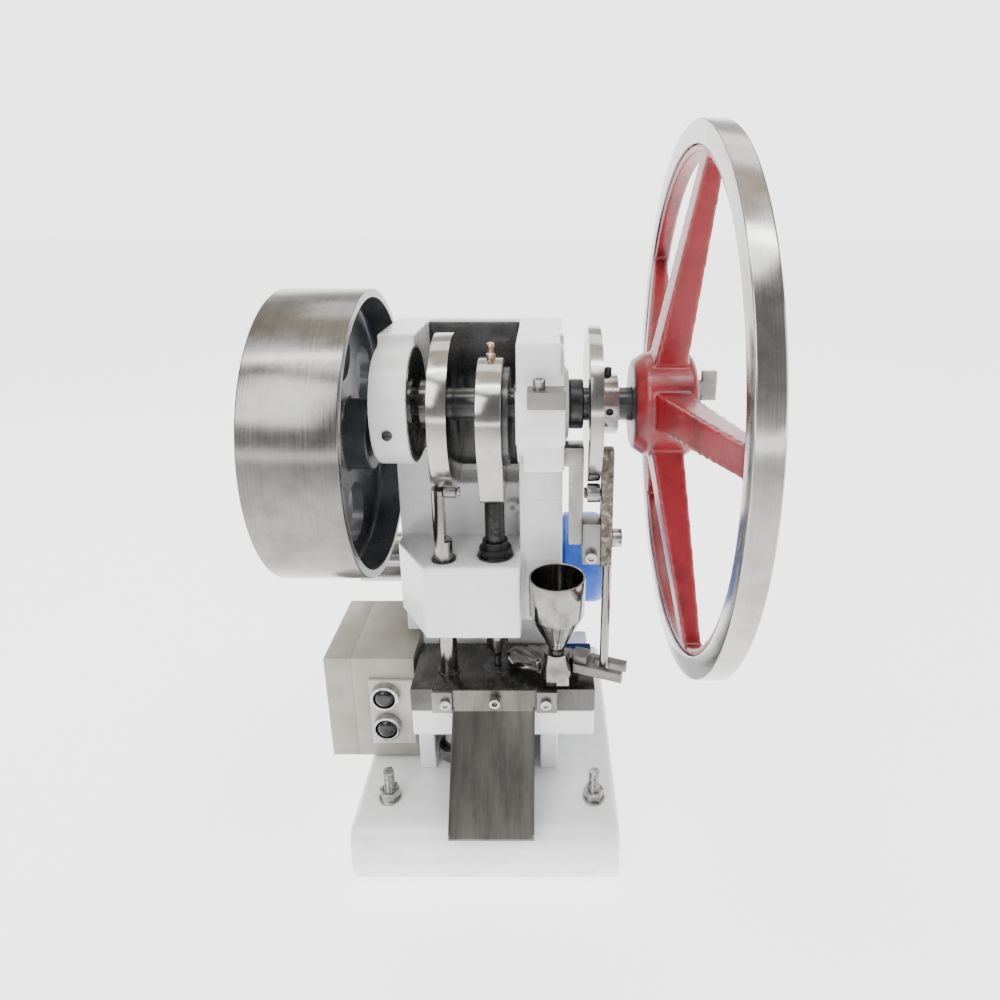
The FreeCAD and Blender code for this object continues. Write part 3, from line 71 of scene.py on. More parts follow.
# ---------------------------------------------------------------- material tools
class Paint:
    """A small wrapper that builds one node material around a Principled shader."""

    def __init__(self, name):
        self.material = bpy.data.materials.new(name)
        self.material.use_nodes = True
        self.tree = self.material.node_tree
        self.shader = self.tree.nodes["Principled BSDF"]
        self.coords = self.add("ShaderNodeTexCoord").outputs["Object"]

    def add(self, kind, **values):
        node = self.tree.nodes.new(kind)
        for key, number in values.items():
            setattr(node, key, number)
        return node

    def link(self, source, target):
        self.tree.links.new(source, target)

    def set(self, **numbers):
        for key, number in numbers.items():
            self.shader.inputs[key.replace("_", " ")].default_value = number

    def stretched(self, scale):
        mapping = self.add("ShaderNodeMapping")
        mapping.inputs["Scale"].default_value = scale
        self.link(self.coords, mapping.inputs["Vector"])
        return mapping.outputs["Vector"]

    def noise(self, scale, detail=3.0, roughness=0.5, vector=None, distortion=0.0):
        node = self.add("ShaderNodeTexNoise")
        node.inputs["Scale"].default_value = scale
        node.inputs["Detail"].default_value = detail
        node.inputs["Roughness"].default_value = roughness
        node.inputs["Distortion"].default_value = distortion
        self.link(vector or self.coords, node.inputs["Vector"])
        return node.outputs["Fac"]

    def ramp(self, value, stops, smooth=True):
        node = self.add("ShaderNodeValToRGB")
        node.color_ramp.interpolation = "EASE" if smooth else "LINEAR"
        points = node.color_ramp.elements
        while len(points) < len(stops):
            points.new(0.5)
        for point, (place, color) in zip(points, stops):
            point.position = place
            point.color = color if len(color) == 4 else (*color, 1.0)
        self.link(value, node.inputs["Fac"])
        return node.outputs["Color"]

    def grey_ramp(self, value, stops):
        return self.ramp(value, [(place, (level,) * 3) for place, level in stops])

    def mix(self, factor, first, second, mode="MIX"):
        node = self.add("ShaderNodeMix", data_type="RGBA", blend_type=mode)
        for socket, item in ((node.inputs[0], factor), (node.inputs[6], first),
                             (node.inputs[7], second)):
            if hasattr(item, "links"):
                self.link(item, socket)
            elif isinstance(item, tuple):
                socket.default_value = (*item, 1.0) if len(item) == 3 else item
            else:
                socket.default_value = item
        return node.outputs[2]

    def math(self, operation, first, second=None):
        node = self.add("ShaderNodeMath", operation=operation)
        for socket, item in zip(node.inputs, (first, second)):
            if item is None:
                continue
            if hasattr(item, "links"):
                self.link(item, socket)
            else:
                socket.default_value = item
        return node.outputs[0]

    def span(self, value, low, high):
        node = self.add("ShaderNodeMapRange")
        node.inputs["To Min"].default_value = low
        node.inputs["To Max"].default_value = high
        self.link(value, node.inputs["Value"])
        return node.outputs["Result"]

    def color(self, source):
        self.link(source, self.shader.inputs["Base Color"])

    def rough(self, source):
        self.link(source, self.shader.inputs["Roughness"])

    def bump(self, height, distance, strength=1.0):
        """Stack one more bump under the shader's normal."""
        node = self.add("ShaderNodeBump")
        node.inputs["Strength"].default_value = strength
        node.inputs["Distance"].default_value = distance
        self.link(height, node.inputs["Height"])
        old = self.shader.inputs["Normal"].links
        if old:
            self.link(old[0].from_socket, node.inputs["Normal"])
        self.link(node.outputs["Normal"], self.shader.inputs["Normal"])

    def edges(self, low, high):
        """White where the surface bends outward: ridges and corners."""
        point = self.add("ShaderNodeNewGeometry").outputs["Pointiness"]
        return self.grey_ramp(point, ((low, 0.0), (high, 1.0)))

    def inside(self, low, high, blur=0.0004):
        """White inside a box given by two corners, black outside it."""
        parts = self.add("ShaderNodeSeparateXYZ")
        self.link(self.coords, parts.inputs[0])
        result = 1.0
        for index, (start, end) in enumerate(zip(low, high)):
            for edge, sign in ((start, 1.0), (end, -1.0)):
                if edge is None:
                    continue
                step = self.add("ShaderNodeMapRange")
                step.inputs["From Min"].default_value = edge - sign * blur
                step.inputs["From Max"].default_value = edge + sign * blur
                self.link(parts.outputs[index], step.inputs["Value"])
                result = self.math("MULTIPLY", step.outputs["Result"], result)
        return result

    def radial(self, center, axis="X"):
        """Distance from a line along X or Z through center, and the place along it."""
        shift = self.add("ShaderNodeVectorMath", operation="SUBTRACT")
        shift.inputs[1].default_value = center
        self.link(self.coords, shift.inputs[0])
        parts = self.add("ShaderNodeSeparateXYZ")
        self.link(shift.outputs[0], parts.inputs[0])
        along = parts.outputs[axis]
        others = [parts.outputs[name] for name in "XYZ" if name != axis]
        squares = [self.math("MULTIPLY", other, other) for other in others]
        return self.math("SQRT", self.math("ADD", *squares)), along


def turned_steel(name, center, axis="X", tone=0.62, rough=0.22, marks=1400.0, dark=0.8):
    """Bright steel with the fine rings that a lathe leaves around a line."""
    paint = Paint(name)
    distance, along = paint.radial(center, axis)
    rings = paint.add("ShaderNodeCombineXYZ")
    paint.link(distance, rings.inputs[0])
    paint.link(along, rings.inputs[1])
    fine = paint.noise(marks, 4.0, 0.7, rings.outputs[0])
    stains = paint.noise(38.0, 5.0, 0.6)
    warm = (tone, tone * 0.985, tone * 0.95)
    base = paint.ramp(stains, ((0.30, tuple(part * dark for part in warm)), (0.62, warm)))
    paint.color(paint.mix(0.25, base, paint.grey_ramp(fine, ((0.3, 0.55), (0.7, 1.0))),
                          "MULTIPLY"))
    paint.rough(paint.math("ADD", paint.span(fine, rough - 0.06, rough + 0.06),
                           paint.span(stains, -0.05, 0.09)))
    paint.bump(fine, 0.00006, 0.55)
    paint.set(Metallic=1.0)
    return paint.material


def ground_steel(name, tone=0.34, rough=0.3, direction=(30.0, 900.0, 900.0), bite=0.5):
    """Flat ground steel: straight scratches and soft oil stains."""
    paint = Paint(name)
    scratch = paint.noise(1.0, 5.0, 0.65, paint.stretched(direction))
    stains = paint.noise(26.0, 6.0, 0.62, distortion=0.6)
    warm = (tone, tone * 0.985, tone * 0.955)
    base = paint.ramp(stains, ((0.28, tuple(part * 0.55 for part in warm)), (0.66, warm)))
    paint.color(paint.mix(0.35, base, paint.grey_ramp(scratch, ((0.3, 0.5), (0.72, 1.0))),
                          "MULTIPLY"))
    paint.rough(paint.math("ADD", paint.span(scratch, rough - 0.08, rough + 0.1),
                           paint.span(stains, 0.08, -0.06)))
    paint.bump(scratch, 0.00008, bite)
    paint.set(Metallic=1.0)
    return paint.material


def polished_steel():
    """Mirror-bright steel with faint hand-polishing waves."""
    paint = Paint("polished_steel")
    waves = paint.noise(60.0, 3.0, 0.5, distortion=0.8)
    haze = paint.noise(340.0, 4.0, 0.6)
    paint.color(paint.ramp(waves, ((0.25, (0.12, 0.12, 0.117)), (0.7, (0.26, 0.257, 0.25)))))
    paint.rough(paint.span(haze, 0.07, 0.20))
    paint.bump(waves, 0.00045, 0.35)
    paint.bump(haze, 0.00005, 0.3)
    paint.set(Metallic=1.0)
    return paint.material


def dark_steel(name, tone=0.035, rough=0.34):
    """Oil-blackened steel, worn bright along its edges."""
    paint = Paint(name)
    grain = paint.noise(420.0, 5.0, 0.65)
    patches = paint.noise(55.0, 5.0, 0.6)
    base = paint.ramp(patches, ((0.35, (tone, tone, tone * 1.1)),
                                (0.75, (tone * 2.6, tone * 2.6, tone * 2.5))))
    worn = paint.math("MULTIPLY", paint.edges(0.52, 0.60),
                      paint.grey_ramp(grain, ((0.35, 0.0), (0.62, 1.0))))
    paint.color(paint.mix(worn, base, (0.34, 0.33, 0.31)))
    paint.rough(paint.span(grain, rough - 0.08, rough + 0.14))
    paint.bump(grain, 0.0001, 0.4)
    paint.set(Metallic=0.85)
    return paint.material


def weathered_steel():
    """The swing arm's bar: rolled steel with rust-brown and black patches."""
    paint = Paint("weathered_steel")
    patches = paint.noise(120.0, 7.0, 0.7, distortion=0.7)
    grain = paint.noise(800.0, 4.0, 0.6)
    paint.color(paint.ramp(patches, ((0.32, (0.028, 0.026, 0.024)), (0.5, (0.13, 0.115, 0.095)),
                                     (0.66, (0.30, 0.285, 0.26)))))
    paint.rough(paint.span(patches, 0.62, 0.34))
    paint.bump(patches, 0.0004, 0.5)
    paint.bump(grain, 0.0001, 0.4)
    paint.set(Metallic=0.75)
    return paint.material


def zinc():
    """Bright zinc plate with a light blue-yellow cast."""
    paint = Paint("zinc_plate")
    cloud = paint.noise(150.0, 4.0, 0.6)
    grain = paint.noise(1500.0, 3.0, 0.6)
    paint.color(paint.ramp(cloud, ((0.3, (0.27, 0.27, 0.265)), (0.7, (0.46, 0.46, 0.45)))))
    paint.rough(paint.span(cloud, 0.16, 0.34))
    paint.bump(grain, 0.00006, 0.4)
    paint.set(Metallic=1.0)
    return paint.material


def threaded_zinc(pitch=0.0015):
    """Zinc plate on a threaded rod that stands along Z."""
    paint = Paint("threaded_zinc")
    turns = paint.add("ShaderNodeTexWave", bands_direction="Z")
    turns.inputs["Scale"].default_value = math.pi / 10 / pitch
    paint.link(paint.coords, turns.inputs["Vector"])
    cloud = paint.noise(300.0, 4.0, 0.6)
    base = paint.ramp(cloud, ((0.3, (0.34, 0.34, 0.33)), (0.7, (0.56, 0.56, 0.55))))
    paint.color(paint.mix(0.7, base, paint.grey_ramp(turns.outputs["Fac"],
                                                     ((0.2, 0.25), (0.8, 1.0))), "MULTIPLY"))
    paint.rough(paint.span(cloud, 0.2, 0.36))
    paint.bump(turns.outputs["Fac"], 0.0005, 0.9)
    paint.set(Metallic=1.0)
    return paint.material


def bronze(name, color):
    """Cast copper alloy with a cloudy tarnish."""
    paint = Paint(name)
    cloud = paint.noise(180.0, 5.0, 0.6)
    low = tuple(part * 0.6 for part in color)
    paint.color(paint.ramp(cloud, ((0.3, low), (0.68, color))))
    paint.rough(paint.span(cloud, 0.38, 0.2))
    paint.bump(cloud, 0.0001, 0.3)
    paint.set(Metallic=1.0)
    return paint.material


def white_paint(name="white_paint", bare=()):
    """Thick glossy white paint with grime and painted shade in its corners; boxes without their own
    tone turn near-black, bare iron with painted shade.
    """
    paint = Paint(name)
    swell = paint.noise(22.0, 3.0, 0.5)
    peel = paint.noise(420.0, 3.0, 0.55)
    specks = paint.noise(95.0, 8.0, 0.75)
    tone = paint.ramp(swell, ((0.3, (0.74, 0.75, 0.755)), (0.7, (0.82, 0.825, 0.825))))
    # Painted shade with grime: darker paint in concave corners, mottled by the specks.
    point = paint.add("ShaderNodeNewGeometry").outputs["Pointiness"]
    hollow = paint.grey_ramp(point, ((0.42, 1.0), (0.49, 0.0)))
    corner_grime_and_shade = paint.math("MULTIPLY", hollow, paint.grey_ramp(specks, ((0.35, 0.15), (0.7, 0.8))))
    base = paint.mix(corner_grime_and_shade, tone, (0.40, 0.385, 0.36))
    chips = paint.math("MULTIPLY", paint.edges(0.56, 0.62),
                       paint.grey_ramp(specks, ((0.60, 0.0), (0.66, 1.0))))
    color = paint.mix(chips, base, (0.30, 0.29, 0.28))
    # Near-black for boxes without their own tone: bare iron with painted shade over the head's
    # cavity.
    iron_and_cavity_shade = paint.ramp(specks, ((0.3, (0.006, 0.006, 0.007)), (0.75, (0.022, 0.023, 0.025))))
    for low, high, tone in bare:
        mask = paint.inside(low, high)
        color = paint.mix(mask, color, iron_and_cavity_shade if tone is None else tone)
    paint.color(color)
    paint.rough(paint.span(specks, 0.20, 0.36))
    paint.bump(swell, 0.0012, 0.35)
    paint.bump(peel, 0.00010, 0.35)
    paint.set(Metallic=0.0, Coat_Weight=0.35, Coat_Roughness=0.12)
    return paint.material


def red_paint():
    """Red enamel on a rough casting: pale chips, dark runs and painted pinkish highlights along its
    ridges.
    """
    paint = Paint("red_paint")
    swell = paint.noise(34.0, 4.0, 0.55)
    sand = paint.noise(230.0, 6.0, 0.65)
    specks = paint.noise(150.0, 9.0, 0.8, distortion=0.4)
    tone = paint.ramp(swell, ((0.28, (0.10, 0.002, 0.006)), (0.55, (0.19, 0.004, 0.009)),
                              (0.78, (0.27, 0.008, 0.014))))
    # Painted highlight: a pale pink on the convex ridges, broken up by the sand noise.
    ridge_highlight = paint.math("MULTIPLY", paint.edges(0.50, 0.58),
                     paint.grey_ramp(sand, ((0.3, 0.25), (0.7, 1.0))))
    lighter = paint.mix(paint.math("MULTIPLY", ridge_highlight, 0.30), tone, (0.66, 0.17, 0.18))
    chips = paint.grey_ramp(specks, ((0.68, 0.0), (0.71, 1.0)))
    paint.color(paint.mix(paint.math("MULTIPLY", chips, 0.6), lighter, (0.50, 0.34, 0.31)))
    paint.rough(paint.span(sand, 0.22, 0.42))
    paint.bump(swell, 0.0015, 0.4)
    paint.bump(sand, 0.0005, 0.35)
    paint.set(Coat_Weight=0.2, Coat_Roughness=0.15)
    return paint.material


def enamel(name, dark, light, rough=0.3, grain=500.0, coat=0.2):
    """Sprayed machine paint with a fine orange peel."""
    paint = Paint(name)
    swell = paint.noise(30.0, 3.0, 0.5)
    peel = paint.noise(grain, 3.0, 0.6)
    specks = paint.noise(210.0, 8.0, 0.75)
    tone = paint.ramp(swell, ((0.3, dark), (0.7, light)))
    dirt = paint.grey_ramp(specks, ((0.64, 0.0), (0.74, 0.5)))
    paint.color(paint.mix(dirt, tone, tuple(part * 0.55 for part in dark)))
    paint.rough(paint.span(peel, rough - 0.06, rough + 0.08))
    paint.bump(swell, 0.0006, 0.3)
    paint.bump(peel, 0.00012, 0.4)
    paint.set(Coat_Weight=coat, Coat_Roughness=0.2)
    return paint.material


def stainless_sheet():
    """Brushed stainless sheet, brushed down the slope, with wipe marks and a dull film."""
    paint = Paint("stainless_sheet")
    brush = paint.noise(1.0, 5.0, 0.7, paint.stretched((1500.0, 22.0, 22.0)))
    film = paint.noise(1.0, 5.0, 0.6, paint.stretched((60.0, 16.0, 16.0)))
    base = paint.ramp(film, ((0.28, (0.085, 0.082, 0.076)), (0.72, (0.17, 0.165, 0.15))))
    paint.color(paint.mix(0.4, base, paint.grey_ramp(brush, ((0.3, 0.55), (0.7, 1.0))),
                          "MULTIPLY"))
    paint.rough(paint.math("ADD", paint.span(brush, 0.26, 0.4), paint.span(film, 0.06, -0.05)))
    paint.bump(brush, 0.00005, 0.5)
    paint.set(Metallic=1.0)
    return paint.material


def glossy_plastic():
    """Shiny black plastic with a little dust."""
    paint = Paint("black_plastic")
    fine = paint.noise(900.0, 3.0, 0.6)
    dust = paint.noise(240.0, 7.0, 0.7)
    paint.color(paint.ramp(dust, ((0.4, (0.004, 0.004, 0.005)), (0.8, (0.014, 0.014, 0.015)))))
    paint.rough(paint.span(dust, 0.16, 0.34))
    paint.bump(fine, 0.00004, 0.3)
    return paint.material


center = tuple(SHAFT)
drum_center = tuple(DRUM)
# The first box paints the head's cavity between the bearings near-black, bare iron with painted
# shade; the second is a light grey lip at the head's top back.
HEAD_BARE_AND_SHADE = (
    ((-0.0614, -0.060, 0.350), (0.0214, 0.0745, 0.4885), None),
    ((-0.0614, 0.0745, 0.4865), (0.0214, 0.095, 0.60), (0.50, 0.49, 0.46)),
)
LOOKS = {
    "white": white_paint(),
    "frame_white": white_paint("frame_white", HEAD_BARE_AND_SHADE),
    "red": red_paint(),
    "blue": enamel("blue_paint", (0.006, 0.055, 0.36), (0.010, 0.10, 0.52)),
    "fan_blue": enamel("fan_cover_blue", (0.008, 0.07, 0.44), (0.02, 0.14, 0.62), 0.36, 900.0, 0.0),
    "drum_inside": enamel("drum_inside", (0.018, 0.021, 0.025), (0.045, 0.05, 0.056), 0.28),
    "box": enamel("box_paint", (0.25, 0.235, 0.20), (0.32, 0.305, 0.265), 0.34, 700.0),
    "panel": enamel("panel_paint", (0.42, 0.41, 0.38), (0.50, 0.49, 0.46), 0.32, 700.0),
    "shaft_turned": turned_steel("turned_steel", center, tone=0.40, rough=0.14),
    "rim": turned_steel("rim_steel", center, tone=0.42, rough=0.14, marks=900.0, dark=0.72),
    "drum": turned_steel("drum_steel", drum_center, tone=0.21, rough=0.18, marks=700.0,
                         dark=0.72),
    "rod": turned_steel("rod_steel", (0, 0, 0), "Z", tone=0.30, rough=0.15, marks=900.0),
    "ground": ground_steel("ground_steel"),
    "plate": ground_steel("plate_steel", 0.11, 0.24, (900.0, 26.0, 900.0), 0.4),
    "clamp": ground_steel("clamp_steel", 0.25, 0.36, (900.0, 40.0, 900.0), 0.6),
    "polished": polished_steel(),
    "dark": dark_steel("dark_steel"),
    "oily": dark_steel("oily_gear_steel", 0.05, 0.22),
    "die": dark_steel("die_steel", 0.06, 0.26),
    "black": dark_steel("black_oxide", 0.012, 0.4),
    "smooth_black": enamel("blackened_steel", (0.022, 0.024, 0.027), (0.045, 0.047, 0.05), 0.22,
                           900.0, 0.3),
    "weathered": weathered_steel(),
    "zinc": zinc(),
    "threaded": threaded_zinc(),
    "nipple": bronze("nipple_brass", (0.72, 0.47, 0.36)),
    "sheet": stainless_sheet(),
    "plastic": glossy_plastic(),
}


# ---------------------------------------------------------------- mesh tools
def publish(name, mesh, look, nodes, body=None):
    """Make a piece from a mesh, give it its look, and stand it in for CAD nodes."""
    piece = bpy.data.objects.new(name, mesh)
    bpy.context.collection.objects.link(piece)
    looks = look if isinstance(look, tuple) else (look,)
    mesh.materials.clear()
    for item in looks:
        mesh.materials.append(LOOKS[item])
    nodes = [nodes] if isinstance(nodes, str) else nodes
    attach(piece, body or BODY_OF[nodes[0]])
    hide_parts(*nodes)
    return piece


def smooth_by_angle(mesh, degrees=32.0):
    for face in mesh.polygons:
        face.use_smooth = True
    mesh.set_sharp_from_angle(angle=math.radians(degrees))


def clean_copy(node, bevel=0.0, steps=2, angle=28.0):
    """The CAD node's mesh, welded, with flat areas merged and its edges eased."""
    work = bmesh.new()
    work.from_mesh(NODES[node].data)
    bmesh.ops.remove_doubles(work, verts=work.verts, dist=2e-6)
    bmesh.ops.dissolve_limit(work, angle_limit=math.radians(0.6), verts=work.verts,
                             edges=work.edges)
    if bevel:
        sharp = [edge for edge in work.edges
                 if len(edge.link_faces) == 2 and edge.calc_face_angle(0) > math.radians(angle)]
        bmesh.ops.bevel(work, geom=sharp, offset=bevel, segments=steps, profile=0.6,
                        affect="EDGES", clamp_overlap=True, loop_slide=True)
    mesh = finished(node + "_clean", work)
    smooth_by_angle(mesh)
    return mesh


def eased(node, look, bevel=0.0004):
    return publish(node + "_piece", clean_copy(node, bevel), look, node)


def evaluated(piece):
    """The mesh of an object with its modifiers applied."""
    graph = bpy.context.evaluated_depsgraph_get()
    graph.update()
    return bpy.data.meshes.new_from_object(piece.evaluated_get(graph))


def modified(mesh, *modifiers):
    """Apply (type, settings) modifiers to a mesh and return the result."""
    holder = bpy.data.objects.new("holder", mesh)
    bpy.context.collection.objects.link(holder)
    for kind, settings in modifiers:
        modifier = holder.modifiers.new(kind.lower(), kind)
        for key, number in settings.items():
            setattr(modifier, key, number)
    result = evaluated(holder)
    bpy.data.objects.remove(holder)
    return result


def cast_copy(node, voxel, rounds, keep):
    """The CAD node's shape with the soft corners of a casting."""
    mesh = modified(
        clean_copy(node),
        ("REMESH", {"mode": "VOXEL", "voxel_size": voxel}),
        ("SMOOTH", {"factor": 0.5, "iterations": rounds}),
        ("DECIMATE", {"ratio": keep}))
    for face in mesh.polygons:
        face.use_smooth = True
    return mesh


def rounded_profile(points, steps=4):
    """Points are (radius, along, corner radius): each corner becomes an arc."""
    result = []
    count = len(points)
    for index, (radius, along, corner) in enumerate(points):
        here = Vector((radius, along))
        if not corner:
            result.append(here)
            continue
        before = Vector(points[index - 1][:2]) - here
        after = Vector(points[(index + 1) % count][:2]) - here
        reach = min(corner, before.length * 0.45, after.length * 0.45)
        start = here + before.normalized() * reach
        end = here + after.normalized() * reach
        for step in range(steps + 1):
            part = step / steps
            result.append((1 - part) ** 2 * start + 2 * part * (1 - part) * here
                          + part ** 2 * end)
    return result


def lathe(name, center, profile, axis="X", segments=128, steps=4, marked=None):
    """Turn a closed profile of (radius, along, corner) points, in mm, about a line."""
    outline = rounded_profile(profile, steps)
    work = bmesh.new()
    rings = []
    for segment in range(segments):
        angle = 2 * math.pi * segment / segments
        ring = []
        for radius, along in outline:
            flat = (radius * math.cos(angle) * MM, radius * math.sin(angle) * MM)
            place = (along * MM, *flat) if axis == "X" else (*flat, along * MM)
            if axis == "Y":
                place = (flat[0], along * MM, flat[1])
            ring.append(work.verts.new(Vector(place) + center))
        rings.append(ring)
    for index, ring in enumerate(rings):
        following = rings[(index + 1) % segments]
        for point in range(len(outline)):
            after = (point + 1) % len(outline)
            face = work.faces.new((ring[point], ring[after], following[after],
                                   following[point]))
            if marked:
                middle = (outline[point] + outline[after]) / 2
                face.material_index = int(marked(middle[0], middle[1]))
    bmesh.ops.remove_doubles(work, verts=work.verts, dist=1e-6)
    bmesh.ops.recalc_face_normals(work, faces=work.faces)
    mesh = finished(name, work)
    smooth_by_angle(mesh)
    return mesh


def carved(mesh, tool_mesh):
    """The mesh with the tool's solids cut out of it."""
    tool = bpy.data.objects.new("tool", tool_mesh)
    bpy.context.collection.objects.link(tool)
    result = modified(mesh, ("BOOLEAN", {"operation": "DIFFERENCE", "object": tool,
                                         "solver": "EXACT"}))
    bpy.data.objects.remove(tool)
    return result


def finished(name, work):
    """Turn a bmesh into a mesh."""
    mesh = bpy.data.meshes.new(name)
    work.to_mesh(mesh)
    work.free()
    return mesh


def across(work, radius, depth, place, segments):
    """Add a round bar that lies along X to a bmesh."""
    turn = Matrix.Rotation(math.pi / 2, 4, "Y")
    bmesh.ops.create_cone(work, cap_ends=True, segments=segments, radius1=radius,
                          radius2=radius, depth=depth,
                          matrix=Matrix.Translation(place) @ turn)


# ---------------------------------------------------------------- castings
def make_castings():
    """The three cast and welded parts, with soft corners."""
    base = cast_copy("base", 0.0024, 6, 0.35)
    publish("base_casting", base, "white", "base")
    body = cast_copy("frame_casting", 0.0017, 5, 0.5)
    publish("press_frame", body, "frame_white", "frame_casting")
    stand = cast_copy("motor_bracket", 0.0022, 3, 0.4)
    publish("motor_stand", stand, "white", "motor_bracket")


# ---------------------------------------------------------------- handwheel and drum
def make_handwheel():
    """A turned rim on a cast spider whose hub face is bare metal."""
    rim_thick = 17.0
    face_depth = 0.0012
    low, high = node_box("handwheel_rim")
    outer = (high.z - low.z) / 2 / MM
    inner = outer - rim_thick
    left = low.x / MM
    right = high.x / MM
    line = Vector((0, SHAFT.y, SHAFT.z))
    rim = lathe("wheel_rim", line, [
        (inner, left, 1.2), (outer, left, 1.8), (outer, right, 1.8), (inner, right, 1.2)],
        segments=256)
    publish("wheel_rim", rim, "rim", "handwheel_rim")
    spider = cast_copy("handwheel_spider", 0.0016, 5, 0.45)
    hub_face = node_box("handwheel_spider")[0].x + face_depth
    publish("wheel_spider", spider, ("red", "clamp"), "handwheel_spider")
    for face in spider.polygons:
        face.material_index = int(face.center.x < hub_face and face.normal.x < -0.8)


def make_drum():
    """Lathe the drum, then cut six round windows through its web."""
    rim_thick = 7.0
    hub = 30.0
    bore = 9.0
    window = 0.026
    window_ring = 0.072
    windows = 6
    low, high = node_box("belt_drum")
    outer = (high.z - low.z) / 2 / MM
    inner = outer - rim_thick
    left = low.x / MM
    right = high.x / MM
    web_left = left + 34.5
    web_right = left + 44.5
    hub_left = left + 18.5
    hub_right = right - 4
    line = Vector((0, DRUM.y, DRUM.z))
    mesh = lathe("drum", line, [
        (bore, hub_left, 0), (hub, hub_left, 1.5), (hub, web_left, 4),
        (inner, web_left, 6), (inner, left, 0.8), (outer, left, 1.2), (outer, right, 1.2),
        (inner, right, 0.8), (inner, web_right, 6), (hub, web_right, 4),
        (hub, hub_right, 1.5), (bore, hub_right, 0)],
        segments=192, marked=lambda radius, along: radius < inner + 0.4)
    tools = bmesh.new()
    for index in range(windows):
        angle = 2 * math.pi * index / windows
        place = line + Vector(((web_left + web_right) / 2 * MM,
                               window_ring * math.sin(angle),
                               window_ring * math.cos(angle)))
        across(tools, window, 0.03, place, 48)
    cutter = finished("cutter", tools)
    for item in ("drum", "drum_inside"):
        mesh.materials.append(LOOKS[item])
    cutter.materials.append(LOOKS["drum_inside"])
    cut = carved(mesh, cutter)
    indices = [face.material_index for face in cut.polygons]
    smooth_by_angle(cut)
    publish("drum_wheel", cut, ("drum", "drum_inside"), "belt_drum")
    for face, index in zip(cut.polygons, indices):
        face.material_index = index


# ---------------------------------------------------------------- strap, shoe and buttons
def make_strap():
    """The strap's ring runs down smoothly into its round-cornered foot."""
    foot_half = 0.026
    corner = 0.007
    bore = 0.0382
    pocket = (0.0182, 0.041, 0.046)
    steps = 96
    sharp = 1.2
    low, high = node_box("eccentric_strap")
    reach = (high.y - low.y) / 2
    middle = high.z - reach
    foot = foot_half - corner
    points = []
    for step in range(steps):
        angle = 2 * math.pi * step / steps
        turn = Vector((math.cos(angle), math.sin(angle)))
        points.append(turn * reach + Vector((0, middle)))
        for side in (-foot, foot):
            points.append(turn * corner + Vector((side, low.z + corner)))
    outline = [points[index] for index in convex_hull_2d(points)]
    work = bmesh.new()
    face = work.faces.new([work.verts.new((low.x, *point)) for point in outline])
    grown = bmesh.ops.extrude_face_region(work, geom=[face])
    moved = [item for item in grown["geom"] if isinstance(item, bmesh.types.BMVert)]
    bmesh.ops.translate(work, verts=moved, vec=(high.x - low.x, 0, 0))
    bmesh.ops.recalc_face_normals(work, faces=work.faces)
    rims = [edge for edge in work.edges if edge.calc_face_angle(0) > sharp]
    bmesh.ops.bevel(work, geom=rims, offset=0.0009, segments=3, profile=0.5,
                    affect="EDGES")
    ring = finished("strap", work)
    tools = bmesh.new()
    across(tools, bore, 0.06, (0, 0, middle), 128)
    size = Matrix.Diagonal((*pocket, 1.0))
    bmesh.ops.create_cube(tools, size=1.0, matrix=Matrix.Translation((0, 0, low.z)) @ size)
    mesh = carved(ring, finished("strap_tools", tools))
    smooth_by_angle(mesh)
    publish("strap", mesh, "shaft_turned", "eccentric_strap")


def make_shoe():
    """The feed shoe with flutes that fan out from the hopper's neck."""
    shoe_top = 0.1865
    above = 0.0012
    reach = 0.034
    center = node_center("feed_hopper")
    tools = bmesh.new()
    for degrees in (168, 154, 140, 126, 112):
        angle = math.radians(degrees)
        heading = Vector((math.cos(angle), math.sin(angle), 0))
        place = Vector((center.x, center.y, shoe_top + above)) + heading * reach
        turn = Matrix.Rotation(angle, 4, "Z") @ Matrix.Rotation(math.pi / 2, 4, "Y")
        bmesh.ops.create_cone(tools, cap_ends=True, segments=32, radius1=0.0012,
                              radius2=0.0034, depth=0.038,
                              matrix=Matrix.Translation(place) @ turn)
    mesh = carved(clean_copy("feed_shoe", 0.0008, 3), finished("flutes", tools))
    smooth_by_angle(mesh)
    publish("fluted_shoe", mesh, "polished", "feed_shoe")


def make_button(node):
    """A push button with a domed face."""
    low, high = node_box(node)
    middle = (low + high) / 2
    radius = (high.x - low.x) / 2 / MM
    front = low.y / MM
    back = high.y / MM
    dome = lathe(node + "_dome", Vector((middle.x, 0, middle.z)), [
        (0, front, 0), (radius * 0.62, front, 4), (radius, front + 4.0, 4),
        (radius, back, 0.4), (0, back, 0)], "Y", segments=96, steps=8)
    publish(node + "_dome", dome, "plastic", node)


